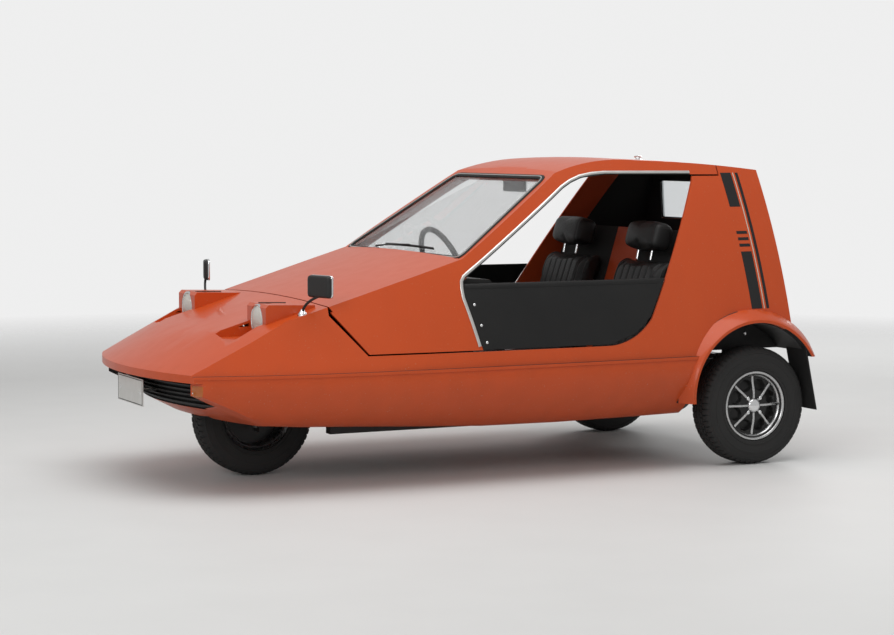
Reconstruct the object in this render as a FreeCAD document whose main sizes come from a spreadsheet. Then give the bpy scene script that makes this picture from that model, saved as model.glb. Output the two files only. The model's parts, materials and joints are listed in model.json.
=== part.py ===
# A three-wheeled microcar: a low wedge of a hull, one steered wheel under the nose, two wheels
# behind, and a canopy that carries windscreen, roof and side screens and tips forward to let
# two people in. Millimetres; X runs rearward, Y to the car's right, Z up from the ground.
import FreeCAD
import Part
import Sketcher
import math
import os
import re

V = FreeCAD.Vector
doc = FreeCAD.newDocument("Microcar")

# Driving dimensions in millimetres, angles in degrees, slopes as rise over run.
SIZES = (
    # name, value
    # Wheels and where they stand
    ("RearAxleX", 1120),
    ("Wheelbase", 1968),
    ("TrackHalf", 592),
    ("TyreRadius", 243),
    ("TyreWidth", 136),
    ("RimRadius", 127),
    ("RimFlange", 143),
    ("RimWall", 10),
    ("HubBore", 13),
    ("HubRadius", 44),
    ("HubDepth", 44),
    # Nose lip and jaw, turned about an upright axis
    ("LipRadius", 1519),
    ("LipX", -1397),
    ("LipTop", 466),
    ("LipLow", 436),
    ("LipDepth", 75),
    ("JawSetBack", 25),
    ("JawTop", 387),
    ("JawSlope", 0.52),
    ("RampSlope", 0.566),
    ("RampEndX", -518),
    ("KeelX", -878),
    # Bonnet, windscreen and roof lines
    ("BonnetX", -960),
    ("BonnetZ", 658),
    ("BonnetSlope", 0.303),
    ("CrownRadius", 10000),
    ("CrownAngle", 11),
    ("ScreenX", -210),
    ("ScreenZ", 863),
    ("ScreenSlope", 0.688),
    ("HeaderX", 280),
    ("HeaderZ", 1211),
    ("RoofX", 685),
    ("RoofZ", 1261),
    ("RoofRearZ", 1216),
    ("TailTopX", 1272),
    ("TailLowX", 1318),
    ("TailLowZ", 462),
    # Waist ledge, shoulder and walls
    ("WaistZ", 462),
    ("LedgeDepth", 12),
    ("LedgeOut", 14),
    ("LedgeLip", 4),
    ("SillZ", 520),
    ("ShoulderZ", 790),
    ("LoftTop", 1300),
    ("HullWall", 6),
    ("BodyWall", 10),
    ("CanopyWall", 14),
    ("ShutGap", 6),
    ("Fit", 0.3),
    # Canopy shut line, side opening and hinge
    ("ShutTopX", -757),
    ("ShutTopZ", 673),
    ("ShutLowX", -626),
    ("RailRearX", 1070),
    ("RailZ", 1188),
    ("HingeX", -855),
    ("HingeZ", 665),
    ("HingeY", 180),
    ("HingePin", 6),
    ("PaneLow", 22),
    ("PaneHigh", 572),
    ("PaneWide", 548),
    ("PaneNarrow", 408),
    ("PaneThick", 6),
    ("PaneBed", 14),
    ("SideScreenTop", 780),
    # Front wheel house, rear arches and floor channel
    ("HouseRoom", 43),
    ("HouseHalf", 272),
    ("HouseWall", 5),
    ("ArchAhead", 15),
    ("ArchAbove", 47),
    ("ArchRoom", 57),
    ("FlareDepth", 50),
    ("FlareRoom", 37),
    ("WellY", 470),
    ("ChannelX", -650),
    ("ChannelHalf", 335),
    ("ChannelZ", 246),
    ("MouthHalf", 505),
    ("MouthLow", 318),
    # Lamps
    ("LampX", -980),
    ("LampY", 400),
    ("LampZ", 652),
    ("LampRadius", 62),
    ("LampDepth", 30),
    ("LensRise", 15.7),
    ("PodHalf", 98),
    ("PodTop", 715),
    ("CornerX", -1320),
    ("CornerDepth", 62),
    ("CornerIn", 512),
    ("CornerOut", 600),
    ("CornerLow", 368),
    ("CornerHigh", 426),
    ("TailLampY", 505),
    ("TailLampGap", 10),
    ("TailLampStep", 103),
    ("TailLampRadius", 42),
    # Rear window, boot lid and bulkhead
    ("WindowHalf", 365),
    ("WindowLow", 985),
    ("WindowHigh", 1160),
    ("LidHalf", 400),
    ("LidLow", 520),
    ("LidHigh", 930),
    ("LidPinX", 1298),
    ("LidPinZ", 927),
    ("LidHingeY", 250),
    ("LidPin", 2.5),
    ("PullHalf", 38),
    ("BulkLowX", 690),
    ("BulkHighX", 905),
    ("BulkHighZ", 960),
    ("BulkWall", 12),
    # Chassis, axle and arms
    ("RailIn", 285),
    ("RailOut", 330),
    ("RailDepth", 60),
    ("RailRiseZ", 410),
    ("RailEndX", 1290),
    ("LinkBarX", 860),
    ("LinkBarZ", 290),
    ("LinkY", 375),
    ("LinkRadius", 13),
    ("AxleRadius", 30),
    ("DrumRoom", 22),
    ("DrumWidth", 50),
    ("DrumRadius", 98),
    ("SpringY", 415),
    ("ArmY", 238),
    ("ArmPivotX", -545),
    ("ArmPivotZ", 216),
    ("ArmRadius", 16),
    ("KingY", -62),
    ("KingRadius", 10),
    ("KingHalf", 62),
    # Engine block and exhaust
    ("EngineX", -525),
    ("EngineLength", 490),
    ("EngineHalf", 155),
    ("EngineHeight", 400),
    ("PipeZ", 166),
    ("PipeRadius", 15),
    ("SilencerX", 1268),
    ("SilencerZ", 296),
    ("SilencerHalf", 230),
    ("SilencerRadius", 46),
    # Plates
    ("PlateX", -1356),
    ("PlateHalf", 153),
    ("PlateLow", 312),
    ("PlateHigh", 417),
    ("PlateThick", 4),
    ("RearPlateHalf", 260),
    ("RearPlateHeight", 111),
    ("RearPlateZ", 660),
    # Cabin
    ("CoverTop", 640),
    ("CoverHalf", 185),
    ("TunnelHalf", 95),
    ("CoverWall", 5),
    ("SteerX", 150),
    ("SteerY", 300),
    ("SteerZ", 790),
    ("SteerRake", 22),
    ("SteerRadius", 178),
    ("SteerGrip", 13),
    ("ColumnRadius", 19),
    ("SeatY", 320),
    ("SeatHalf", 215),
    ("SeatLow", 300),
    ("RestX", 800),
    ("RestZ", 938.5),
    ("KnobX", 932),
)
sheet = doc.addObject("Spreadsheet::Sheet", "Sizes")
for row, (name, value) in enumerate(SIZES, start=1):
    sheet.set("A%d" % row, name)
    sheet.set("B%d" % row, str(value))
    sheet.setAlias("B%d" % row, name)
doc.recompute()


def bound(text):
    """Puts the sheet's name before each driving dimension in a text such as "TyreWidth / 2"."""
    return re.sub(r"[A-Z][A-Za-z]+", lambda hit: "Sizes." + hit.group(0), str(text))


def worked(text):
    """The number that such a text stands for."""
    return float(sheet.evalExpression(str(text)))


def at(x, y, z):
    return V(worked(x), worked(y), worked(z))


def bind(obj, **texts):
    for prop, text in texts.items():
        obj.setExpression(prop.replace("_", "."), bound(text))
    return obj


def put(obj, x, y, z, turn=None):
    """Gives an object its turn, and binds its place to the sheet."""
    obj.Placement = FreeCAD.Placement(at(x, y, z), turn or FreeCAD.Rotation())
    return bind(obj, Placement_Base_x=x, Placement_Base_y=y, Placement_Base_z=z)


class Form:
    """One shape of the document; its operators add the booleans that join, cut and keep."""

    def __init__(self, obj):
        self.obj = obj

    def __add__(self, other):
        return gathered("Part::MultiFuse", (self, other))

    def __and__(self, other):
        return gathered("Part::MultiCommon", (self, other))

    def __sub__(self, other):
        obj = doc.addObject("Part::Cut", "Cut")
        obj.Base = self.obj
        obj.Tool = other.obj
        obj.Refine = False
        return Form(obj)

    def mirrored(self, y=0):
        """The same shape on the other side of an upright plane along the car."""
        obj = doc.addObject("Part::Mirroring", "Mirrored")
        obj.Source = self.obj
        obj.Normal = V(0, 1, 0)
        return Form(bind(obj, Base_y=y))

    def both(self):
        """The shape on the car's right with its like on the left."""
        return apart(self, self.mirrored())


def gathered(kind, forms):
    obj = doc.addObject(kind, kind.replace("Part::Multi", ""))
    obj.Shapes = [form.obj for form in forms]
    obj.Refine = False
    return Form(obj)


def joined(*forms):
    return gathered("Part::MultiFuse", forms)


def apart(*forms):
    """Several solids that don't touch, kept as one sub-part."""
    obj = doc.addObject("Part::Compound", "Group")
    obj.Links = [form.obj for form in forms]
    return Form(obj)


nodes = []


def node(label, form):
    """Names a finished sub-part."""
    form.obj.Label = label
    nodes.append(form.obj)
    return form


def block(x0, x1, y0, y1, z0, z1):
    obj = doc.addObject("Part::Box", "Block")
    bind(obj, Length=f"({x1}) - ({x0})", Width=f"({y1}) - ({y0})", Height=f"({z1}) - ({z0})")
    return Form(put(obj, x0, y0, z0))


AXES = {
    "x": FreeCAD.Rotation(V(0, 1, 0), 90),
    "y": FreeCAD.Rotation(V(1, 0, 0), -90),
    "z": FreeCAD.Rotation(),
}


def bar(axis, x, y, z, radius, length):
    """A round bar that starts at a point and runs along one of the car's axes."""
    obj = doc.addObject("Part::Cylinder", "Bar")
    bind(obj, Radius=radius, Height=length)
    return Form(put(obj, x, y, z, AXES[axis]))


def cross_bar(x, z, half, radius):
    """A round bar across the car, the same length to both sides."""
    return bar("y", x, f"-({half})", z, radius, f"2 * ({half})")


def nearest_end(sketch, edge, point):
    """Which end of a sketched edge lies at the point: 1 the first, 2 the last."""
    first = sketch.getPoint(edge, 1).distanceToPoint(point)
    return 1 if first < sketch.getPoint(edge, 2).distanceToPoint(point) else 2


def hold(sketch, edge, end, corner):
    """Holds a sketched point at the sheet's sizes, measured from the sketch's origin."""
    for kind, text in (("DistanceX", corner[0]), ("DistanceY", corner[1])):
        rule = Sketcher.Constraint(kind, -1, 1, edge, end, worked(text))
        number = sketch.addConstraint(rule)
        sketch.setExpression("Constraints[%d]" % number, bound(text))


def draw(sketch, corners):
    """Draws a closed outline. A corner with a third value is a point that an arc passes."""
    points = [at(corner[0], corner[1], 0) for corner in corners]
    ends = [k for k, corner in enumerate(corners) if len(corner) == 2]
    spans = []
    for first, last in zip(ends, ends[1:] + ends[:1]):
        through = (first + 1) % len(corners)
        a, b = points[first], points[last]
        if through == last:
            edge = sketch.addGeometry(Part.LineSegment(a, b), False)
        else:
            edge = sketch.addGeometry(Part.Arc(a, points[through], b), False)
            mark = sketch.addGeometry(Part.Point(points[through]), True)
            sketch.addConstraint(Sketcher.Constraint("PointOnObject", mark, 1, edge))
            hold(sketch, mark, 1, corners[through])
        spans.append((edge, first, a, b))
    for (edge, first, a, b), (onward, *rest) in zip(spans, spans[1:] + spans[:1]):
        ours = nearest_end(sketch, edge, b)
        theirs = nearest_end(sketch, onward, b)
        sketch.addConstraint(Sketcher.Constraint("Coincident", edge, ours, onward, theirs))
        hold(sketch, edge, nearest_end(sketch, edge, a), corners[first])
    return sketch


# Sketch planes: seen from the side (x, z) and from the front (y, z).
SIDE = FreeCAD.Rotation(V(1, 0, 0), 90)
FRONT = FreeCAD.Rotation(V(1, 1, 1), 120)


def outline(plane, corners, x=0, y=0, z=0):
    sketch = doc.addObject("Sketcher::SketchObject", "Outline")
    return put(draw(sketch, corners), x, y, z, plane)


def pushed(sketch, direction, onward, back=0):
    """A sketch drawn out into a solid, onward along a direction and back behind its plane."""
    obj = doc.addObject("Part::Extrusion", "Push")
    obj.Base = sketch
    obj.Solid = True
    obj.DirMode = "Custom"
    obj.Dir = direction
    return Form(bind(obj, LengthFwd=onward, LengthRev=back))


def across(corners, y0="-900", y1="900"):
    """A side outline made solid across the car."""
    return pushed(outline(SIDE, corners, y=y0), V(0, 1, 0), f"({y1}) - ({y0})")


def turned(sketch, axis, angle=360, x=0, y=0, z=0):
    """A sketch turned about an axis, half of the angle to each side of its plane."""
    obj = doc.addObject("Part::Revolution", "Turn")
    obj.Source = sketch
    obj.Axis = axis
    obj.Symmetric = worked(angle) < 360
    obj.Solid = True
    return Form(bind(obj, Angle=angle, Base_x=x, Base_y=y, Base_z=z))


def crowned(corners):
    """A side outline turned about a far-away axis below, so that it is crowned across."""
    return turned(outline(SIDE, corners), V(1, 0, 0), "CrownAngle", z="-CrownRadius")


def spun(corners, x, z):
    """A (y, radius) profile turned about a cross axis through (x, z)."""
    return turned(outline(FRONT, corners, x=x, z=z), V(0, 1, 0), x=x, z=z)


def stood(corners, x, y, z=0):
    """An (x, height) profile turned about an upright axis through (x, y)."""
    return turned(outline(SIDE, corners, x=x, y=y, z=z), V(0, 0, 1), x=x, y=y)


def tube(points, radius, bend=0):
    """A round bar along straight runs that are joined by tangent arcs."""
    bend = worked(bend) or 2.5 * worked(radius)
    points = [at(*point) for point in points]
    start = points[0]
    edges = []
    for a, b, c in zip(points, points[1:], points[2:]):
        inward = (a - b).normalize()
        onward = (c - b).normalize()
        half = inward.getAngle(onward) / 2
        back = bend / math.tan(half)
        p, q = b + inward * back, b + onward * back
        middle = (inward + onward).normalize()
        apex = b + middle * (bend / math.sin(half) - bend)
        edges.append(Part.LineSegment(start, p).toShape())
        edges.append(Part.Arc(p, apex, q).toShape())
        start = q
    edges.append(Part.LineSegment(start, points[-1]).toShape())
    path = doc.addObject("Part::Feature", "Path")
    path.Shape = Part.Wire(edges)
    ring = bind(doc.addObject("Part::Circle", "Ring"), Radius=radius)
    ring.Placement = FreeCAD.Placement(points[0], FreeCAD.Rotation(V(0, 0, 1), points[1] - points[0]))
    obj = doc.addObject("Part::Sweep", "Tube")
    obj.Sections = [ring]
    obj.Spine = (path, ["Edge%d" % (k + 1) for k in range(len(edges))])
    obj.Solid = True
    return Form(obj)


# Sections across the body: half-widths at the waist, shoulder and top, and the floor.
STATIONS = (
    # x, waist, shoulder, top, floor z, floor half-width
    (-1430, 500, 385, 225, 300, 410),
    (-1250, 563, 433, 258, 279, 461),
    (-1065, 618, 478, 290, 262, 505),
    (-850, 657, 520, 322, 249, 535),
    (-620, 677, 556, 350, 240, 550),
    (-370, 684, 588, 371, 228, 557),
    (-100, 684.5, 610, 385, 216, 560),
    (240, 682, 615, 389, 213, 559),
    (600, 676, 604, 383, 216, 553),
    (960, 661, 588, 371, 221, 539),
    (1330, 642, 570, 355, 225, 520),
)
SKY = 1500
UNDER = -50
FAR = 1500

# Places that follow from the driving dimensions.
FRONT_X = "(RearAxleX - Wheelbase)"
AXLE_Z = "TyreRadius"
ARCH_X = "(RearAxleX - ArchAhead)"
ARCH_Z = "(TyreRadius + ArchAbove)"
ARCH_RADIUS = "(TyreRadius + ArchRoom)"
HOUSE_RADIUS = "(TyreRadius + HouseRoom)"
FLARE_OUT = "(TrackHalf + TyreWidth / 2 + FlareRoom)"
DRUM_OUT = "(TrackHalf - DrumRoom)"
DRUM_IN = "(TrackHalf - DrumRoom - DrumWidth)"
TAIL_START = "TailTopX - 172"
TAIL_END = "max(TailTopX; TailLowX) + 82"


def section(row, wall):
    """One cross-section: floor, bowed hull side, ledge and bowed upper side, drawn in by a wall."""
    x, waist, shoulder, top, floor_z, floor_half = row
    high = "WaistZ - LedgeDepth"
    rim = f"{waist} + LedgeOut - LedgeLip"
    bow = f"{rim} - {wall} - 0.13 * ({rim} - {floor_half})"
    right = [
        (f"{floor_half} - {wall}", f"{floor_z} + {wall}"),
        (bow, f"0.52 * ({floor_z} + {wall}) + 0.48 * ({high})", "arc"),
        (f"{rim} - {wall}", high),
    ]
    if wall == 0:
        right += [(f"{waist} + LedgeOut", high), (f"{waist} + LedgeOut", "WaistZ")]
    right += [
        (f"{waist} - {wall}", f"WaistZ - {wall}"),
        (f"{shoulder} - {wall}", "ShoulderZ", "arc"),
        (f"{top} - {wall}", "LoftTop"),
    ]
    left = [(f"-({corner[0]})", *corner[1:]) for corner in reversed(right)]
    return outline(FRONT, right + left, x=x)


def outside_nose(wall):
    """What lies outside the nose: it is turned about an upright axis, so the lip is an arc."""
    lip = "LipX + LipDepth" if wall else "LipX"
    jaw = "LipX + LipDepth + 1" if wall else "LipX + JawSetBack"
    drop = f"{wall} * sqrt(1 + RampSlope ^ 2)"
    rise = f"{wall} * sqrt(1 + JawSlope ^ 2)"
    top = f"LipTop + RampSlope * (RampEndX - LipX) - {drop}"
    jaw_z = f"JawTop - JawSlope * ({jaw} - LipX - JawSetBack) + {rise}"
    far = "LipX - 1081"
    corners = [
        ("RampEndX", top),
        (lip, f"LipTop + RampSlope * ({lip} - LipX) - {drop}"),
        (lip, "LipLow"),
        (jaw, "LipLow"),
        (jaw, jaw_z),
        ("KeelX", f"{jaw_z} - JawSlope * (KeelX - ({jaw}))"),
        ("KeelX", UNDER),
        (far, UNDER),
        (far, top),
    ]
    return turned(outline(SIDE, corners), V(0, 0, 1), 180, x="LipX + LipRadius")


def bonnet_z(x, wall=0):
    return f"BonnetZ + BonnetSlope * ({x} - BonnetX) - {wall} * sqrt(1 + BonnetSlope ^ 2)"


def screen_z(x, wall=0):
    return f"ScreenZ + ScreenSlope * ({x} - ScreenX) - {wall} * sqrt(1 + ScreenSlope ^ 2)"


def over_bonnet(wall):
    """What lies above both the bonnet's line and the windscreen's line."""
    front, rear = -1500, 460
    line = [(front, bonnet_z(front, wall)), (rear, bonnet_z(rear, wall))]
    bonnet = crowned([*line, (rear, SKY), (front, SKY)])
    front, rear = -1600, 500
    line = [(front, screen_z(front, wall)), (rear, screen_z(rear, wall))]
    return bonnet & across([*line, (rear, SKY), (front, SKY)])


def over_roof(wall):
    rear = "TailTopX + 60"
    return crowned(
        [
            ("HeaderX - 160", f"HeaderZ - 64 - {wall}"),
            ("HeaderX", f"HeaderZ - {wall}"),
            ("HeaderX + 140", f"HeaderZ + 37 - {wall}", "arc"),
            ("RoofX", f"RoofZ - {wall}"),
            ("RoofX + 315", f"RoofZ - 16 - {wall}", "arc"),
            (rear, f"RoofRearZ - 5 - {wall}"),
            (rear, SKY),
            ("HeaderX - 160", SKY),
        ]
    )


TAIL_LEAN = "(TailLowX - TailTopX) / (RoofRearZ - TailLowZ)"


def behind_tail(wall):
    foot = 150
    return across(
        [
            (f"TailLowX - {wall} + {TAIL_LEAN} * (TailLowZ - {foot})", foot),
            (f"{TAIL_END} + 300", foot),
            (f"{TAIL_END} + 300", SKY),
            (f"TailTopX - {wall} - {TAIL_LEAN} * ({SKY} - RoofRearZ)", SKY),
        ]
    )


def envelope(wall=0):
    """The whole outer form, or the same form drawn in by a wall."""
    loft = doc.addObject("Part::Loft", "Form")
    loft.Sections = [section(row, wall) for row in STATIONS]
    loft.Solid = True
    loft.Ruled = True
    form = Form(loft) - outside_nose(wall) - over_bonnet(wall)
    return form - over_roof(wall) - behind_tail(wall)


# Side outline of the door opening, front edge and pillar underside, then the rear edge.
FRONT_EDGE = (
    (-148, "SillZ"),
    (-178, 642),
    (-201, 729),
    (-201, "ShoulderZ - 2"),
    (-173, 816),
    (306, 1143),
)
REAR_EDGE = ((430, "SillZ"), (548, 556, "arc"), (627, 622), (934, 1171))
RAIL_BEND = ((400, 1184, "arc"), (520, "RailZ + 10"))


def canopy_region(gap):
    """Side outline of the canopy: shut line, opening's front edge, rail and roof end."""
    return across(
        [
            (f"ShutTopX + {gap}", SKY),
            (f"ShutTopX + {gap}", f"ShutTopZ + {gap} + 26"),
            (f"ShutTopX + {gap} + 8", f"ShutTopZ + {gap}"),
            (f"ShutLowX + {gap}", f"SillZ + {gap}"),
            (f"{FRONT_EDGE[0][0]} - 1", f"SillZ + {gap}"),
            *FRONT_EDGE[1:],
            *RAIL_BEND,
            ("RailRearX", f"RailZ + {gap}"),
            ("RailRearX", SKY),
        ]
    )


def rear_region():
    """Side outline of the rear body: sill, the opening's rear edge, roof strip and tail."""
    top_x = REAR_EDGE[-1][0]
    return across(
        [
            *REAR_EDGE,
            (top_x + 6, "RailZ"),
            ("RailRearX + ShutGap", "RailZ"),
            ("RailRearX + ShutGap", SKY),
            (f"{TAIL_END} + 50", SKY),
            (f"{TAIL_END} + 50", "WaistZ"),
            (FRONT_EDGE[0][0], "WaistZ"),
            FRONT_EDGE[0],
        ]
    )


def on_screen(corners, low, high):
    """A solid on the windscreen's own plane: (u, y) corners with u up the slope."""
    lean = math.degrees(math.atan(worked("ScreenSlope")))
    turn = FreeCAD.Rotation(V(0, 1, 0), -lean)
    sketch = outline(turn, corners, "ScreenX", 0, "ScreenZ")
    return pushed(sketch, turn.multVec(V(0, 0, 1)), high, f"-({low})")


def pane(margin):
    """The windscreen's outline on its plane, drawn in by a margin."""
    return [
        (f"PaneLow + {margin}", f"-PaneWide + {margin}"),
        (f"PaneHigh - {margin}", f"-PaneNarrow + {margin}"),
        (f"PaneHigh - {margin}", f"PaneNarrow - {margin}"),
        (f"PaneLow + {margin}", f"PaneWide - {margin}"),
    ]


outer = envelope()
hull_inner = envelope("HullWall")
body_inner = envelope("BodyWall")
canopy_inner = envelope("CanopyWall")
body_skin = outer - body_inner
canopy_skin = outer - canopy_inner

# Hull: the tub below the waist ledge, cut by the rear arches, the floor channel, the engine
# bay, the mouth under the lip and the corner lamps.
arch = cross_bar(ARCH_X, ARCH_Z, 900, ARCH_RADIUS)
arch_wide = cross_bar(ARCH_X, ARCH_Z, 900, f"{ARCH_RADIUS} + HullWall")
channel = block("ChannelX", FAR, "-ChannelHalf", "ChannelHalf", 0, "ChannelZ")
wide_half = "ChannelHalf + HullWall"
wide_top = "ChannelZ + HullWall"
channel_wide = block("ChannelX - HullWall", FAR, f"-({wide_half})", wide_half, 0, wide_top)
house_front = f"{FRONT_X} - {HOUSE_RADIUS}"
house_rear = f"{FRONT_X} + {HOUSE_RADIUS}"
drum = cross_bar(FRONT_X, AXLE_Z, "HouseHalf", HOUSE_RADIUS) + block(
    house_front, house_rear, "-HouseHalf", "HouseHalf", 0, AXLE_Z
)
hollow_half = "HouseHalf - HouseWall"
hollow = cross_bar(FRONT_X, AXLE_Z, hollow_half, f"{HOUSE_RADIUS} - HouseWall") + block(
    f"{house_front} + HouseWall",
    f"{house_rear} - HouseWall",
    f"-({hollow_half})",
    hollow_half,
    UNDER,
    AXLE_Z,
)
below_waist = block(-FAR, 1000, -900, 900, 0, "WaistZ")
bay_half = "EngineHalf + 10"
engine_bay = block("EngineX", "EngineX + EngineLength + 5", f"-({bay_half})", bay_half, 0, 300)
mouth = block("LipX - 23", -1180, "-MouthHalf", "MouthHalf", "MouthLow", "LipLow - 0.5")
corner_box = block("CornerX", "CornerX + CornerDepth", "CornerIn", "CornerOut", "CornerLow", "CornerHigh")
corner_boxes = corner_box.both()
hull = (outer & below_waist) - arch - channel - (hull_inner - arch_wide - channel_wide)
hull = hull - drum - engine_bay - mouth - corner_boxes

# Arch flares: a turned lip whose rear and upper part belongs to the rear body.
flare = spun(
    [
        (560, ARCH_RADIUS),
        (FLARE_OUT, ARCH_RADIUS),
        (FLARE_OUT, f"{ARCH_RADIUS} + 11"),
        (f"{FLARE_OUT} - 9", f"{ARCH_RADIUS} + 20"),
        (640, f"{ARCH_RADIUS} + FlareDepth"),
        (560, f"{ARCH_RADIUS} + FlareDepth"),
    ],
    ARCH_X,
    ARCH_Z,
)
low_flare = (flare & block(700, ARCH_X, 0, 900, 270, "WaistZ")) - hull_inner
hull = node("hull", joined(hull, low_flare, low_flare.mirrored()))
wheel_house = node("wheel_house_front", ((drum - hollow) & outer) - channel)
node("corner_lamps", outer & corner_boxes)

# Nose deck with the two headlamp pods.
nose_region = across(
    [
        (-FAR, "WaistZ"),
        (FRONT_EDGE[0][0], "WaistZ"),
        FRONT_EDGE[0],
        ("ShutLowX", "SillZ"),
        ("ShutTopX", "ShutTopZ"),
        ("ShutTopX", SKY),
        (-FAR, SKY),
    ]
)
pod = across(
    [
        ("LampX - 150", "LampZ - 78"),
        ("LampX - 150", "LampZ - 30"),
        ("LampX", "LampZ - 30"),
        ("LampX", "PodTop - 12"),
        ("LampX + 12", "PodTop"),
        ("ShutTopX - 22", "PodTop - 6"),
        ("ShutTopX - 22", "PodTop - 40"),
        ("LampX + 90", "LampZ - 78"),
    ],
    "LampY - PodHalf",
    "LampY + PodHalf",
)
pod_front = (pod & block(-FAR, "LampX", -900, 900, 0, 900)) & outer
pod_rear = pod & block("LampX", 0, -900, 900, 0, 900)
bucket = bar("x", "LampX - 5", "LampY", "LampZ", "LampRadius + 1", 65)
scoop = block("LampX - 140", "LampX", "LampY - PodHalf + 24", "LampY + PodHalf - 24", "LampZ - 66", 900)
pod = (pod_front + pod_rear) - scoop - bucket
deck = (body_skin & nose_region) - scoop.both()
deck = node("nose_deck", joined(deck, pod, pod.mirrored()) - bucket.both())

# Headlamps: a round shell with a domed lens.
lens_edge = "LampX + 4"
lamp = outline(
    SIDE,
    [
        (f"{lens_edge} + LampDepth", 0),
        (f"{lens_edge} + LampDepth", "LampRadius"),
        (lens_edge, "LampRadius"),
        (f"{lens_edge} - 0.76 * LensRise", "LampRadius / 2", "arc"),
        (f"{lens_edge} - LensRise", 1),
        (f"{lens_edge} - LensRise", 0),
    ],
    y="LampY",
    z="LampZ",
)
node("headlamps", turned(lamp, V(1, 0, 0), y="LampY", z="LampZ").both())

# Boot lid with hinge barrels outside, over its top edge, and a bent pull.
tail_panel = outer & block(TAIL_START, TAIL_END, 0, 900, 500, 1000)


def on_lid_pin(start, length, radius):
    return bar("y", "LidPinX", start, "LidPinZ", radius, length)


barrel_half = 15
lid_leaf = block(
    "LidPinX - 16",
    "LidPinX + 3",
    f"LidHingeY - {barrel_half}",
    f"LidHingeY + {barrel_half}",
    "LidPinZ - 34",
    "LidPinZ",
)
lid_barrel = on_lid_pin(f"LidHingeY - {barrel_half}", 2 * barrel_half, "LidPin + 3.5") + lid_leaf
lid_barrel = lid_barrel - on_lid_pin(0, 900, "LidPin + 0.05") - tail_panel
ear_start = f"LidHingeY + {barrel_half + 1}"
ear_leaf = block("LidPinX - 16", "LidPinX + 4", ear_start, f"{ear_start} + 14", "LidPinZ", "LidPinZ + 34")
ear = on_lid_pin(ear_start, 14, "LidPin + 3.5") + ear_leaf
lid_pin = on_lid_pin(f"LidHingeY - {2 * barrel_half}", 4 * barrel_half, "LidPin")
ear = joined(ear, ear.mirrored("LidHingeY"), lid_pin) - tail_panel
pull_x = "TailLowX - 14"
pull_z = "LidLow + 40"
pull = tube(
    [
        (pull_x, "-PullHalf", pull_z),
        (f"{pull_x} + 26", "-PullHalf", pull_z),
        (f"{pull_x} + 26", "PullHalf", pull_z),
        (pull_x, "PullHalf", pull_z),
    ],
    6,
    12,
)
lid = body_skin & block(
    TAIL_START,
    TAIL_END,
    "-LidHalf + ShutGap",
    "LidHalf - ShutGap",
    "LidLow + ShutGap",
    "LidHigh - ShutGap",
)
node("boot_lid", joined(lid, lid_barrel, lid_barrel.mirrored(), pull - outer))

# Rear body: quarters, roof strip and tail in one moulding, with the arch flares.
high_flare = (flare & block(700, ARCH_X, 0, 900, "WaistZ", 900)) + (
    flare & block(ARCH_X, 1388, 0, 900, 440, 900)
)
high_flare = high_flare - body_inner
rear = (body_skin & rear_region()) - arch
rear = joined(rear, high_flare, high_flare.mirrored())
rear = rear - block(TAIL_START, TAIL_END, "-WindowHalf", "WindowHalf", "WindowLow", "WindowHigh")
rear = rear - block(TAIL_START, TAIL_END, "-LidHalf", "LidHalf", "LidLow", "LidHigh")
rear = node("rear_body", joined(rear, ear, ear.mirrored()))
glass_half = "WindowHalf - Fit"
glass_box = block(
    TAIL_START,
    TAIL_END,
    f"-({glass_half})",
    glass_half,
    "WindowLow + Fit",
    "WindowHigh - Fit",
)
node("rear_window", body_skin & glass_box)

# Wheel houses between the arches and the luggage floor, and the bulkhead behind the seats.
well_in = "WellY - HullWall"
well = bar("y", ARCH_X, well_in, ARCH_Z, ARCH_RADIUS, "668 - WellY + HullWall")
well = well - bar("y", ARCH_X, "WellY", ARCH_Z, f"{ARCH_RADIUS} - HullWall", 230)
well = well & block(700, TAIL_END, 0, 900, "WaistZ", 900)
node("wheel_houses_rear", well.both())
floor_in = "ChannelZ + HullWall"
before_bulkhead = across(
    [
        (0, floor_in),
        ("BulkLowX + BulkWall", floor_in),
        ("BulkHighX + BulkWall", "BulkHighZ"),
        (0, "BulkHighZ"),
    ]
)
bulkhead = across(
    [
        ("BulkLowX", floor_in),
        ("BulkLowX + BulkWall", floor_in),
        ("BulkHighX + BulkWall", "BulkHighZ"),
        ("BulkHighX", "BulkHighZ"),
    ]
)
bulkhead = node("rear_bulkhead", (bulkhead & body_inner) - hull)
luggage = block(720, 1340, f"-({well_in})", well_in, "WaistZ", "WaistZ + BodyWall")
node("luggage_floor", (luggage & body_inner) - before_bulkhead)

# Canopy: scuttle, pillars and roof in one shell, with the flat windscreen in a rebate.
edge_x = "ShutTopX + ShutGap"
edge_z = bonnet_z(edge_x)
bevel = crowned(
    [
        (f"{edge_x} - 5", f"{edge_z} - 1"),
        (edge_x, f"{edge_z} - 1"),
        (f"{edge_x} + 14", f"{edge_z} - 20"),
        (f"{edge_x} - 5", f"{edge_z} - 20"),
    ]
)
rebate = on_screen(pane(-1), "-PaneThick - 1", 60)
hole = on_screen(pane("PaneBed"), -60, 60)
node("canopy_shell", (canopy_skin & canopy_region("ShutGap")) - rebate - hole - bevel)
node("windscreen", on_screen(pane(0), "-PaneThick - 1", -1))
screen_low = "SillZ + ShutGap"
side_screens = canopy_skin & across(
    [
        (FRONT_EDGE[0][0], screen_low),
        *FRONT_EDGE[1:3],
        (FRONT_EDGE[3][0], "SideScreenTop"),
        (709, "SideScreenTop"),
        (621, 629),
        (542, 564),
        (424, screen_low),
    ]
)
node("side_screen_left", side_screens & block(-FAR, FAR, -900, 0, 0, SKY))
node("side_screen_right", side_screens & block(-FAR, FAR, 0, 900, 0, SKY))

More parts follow.
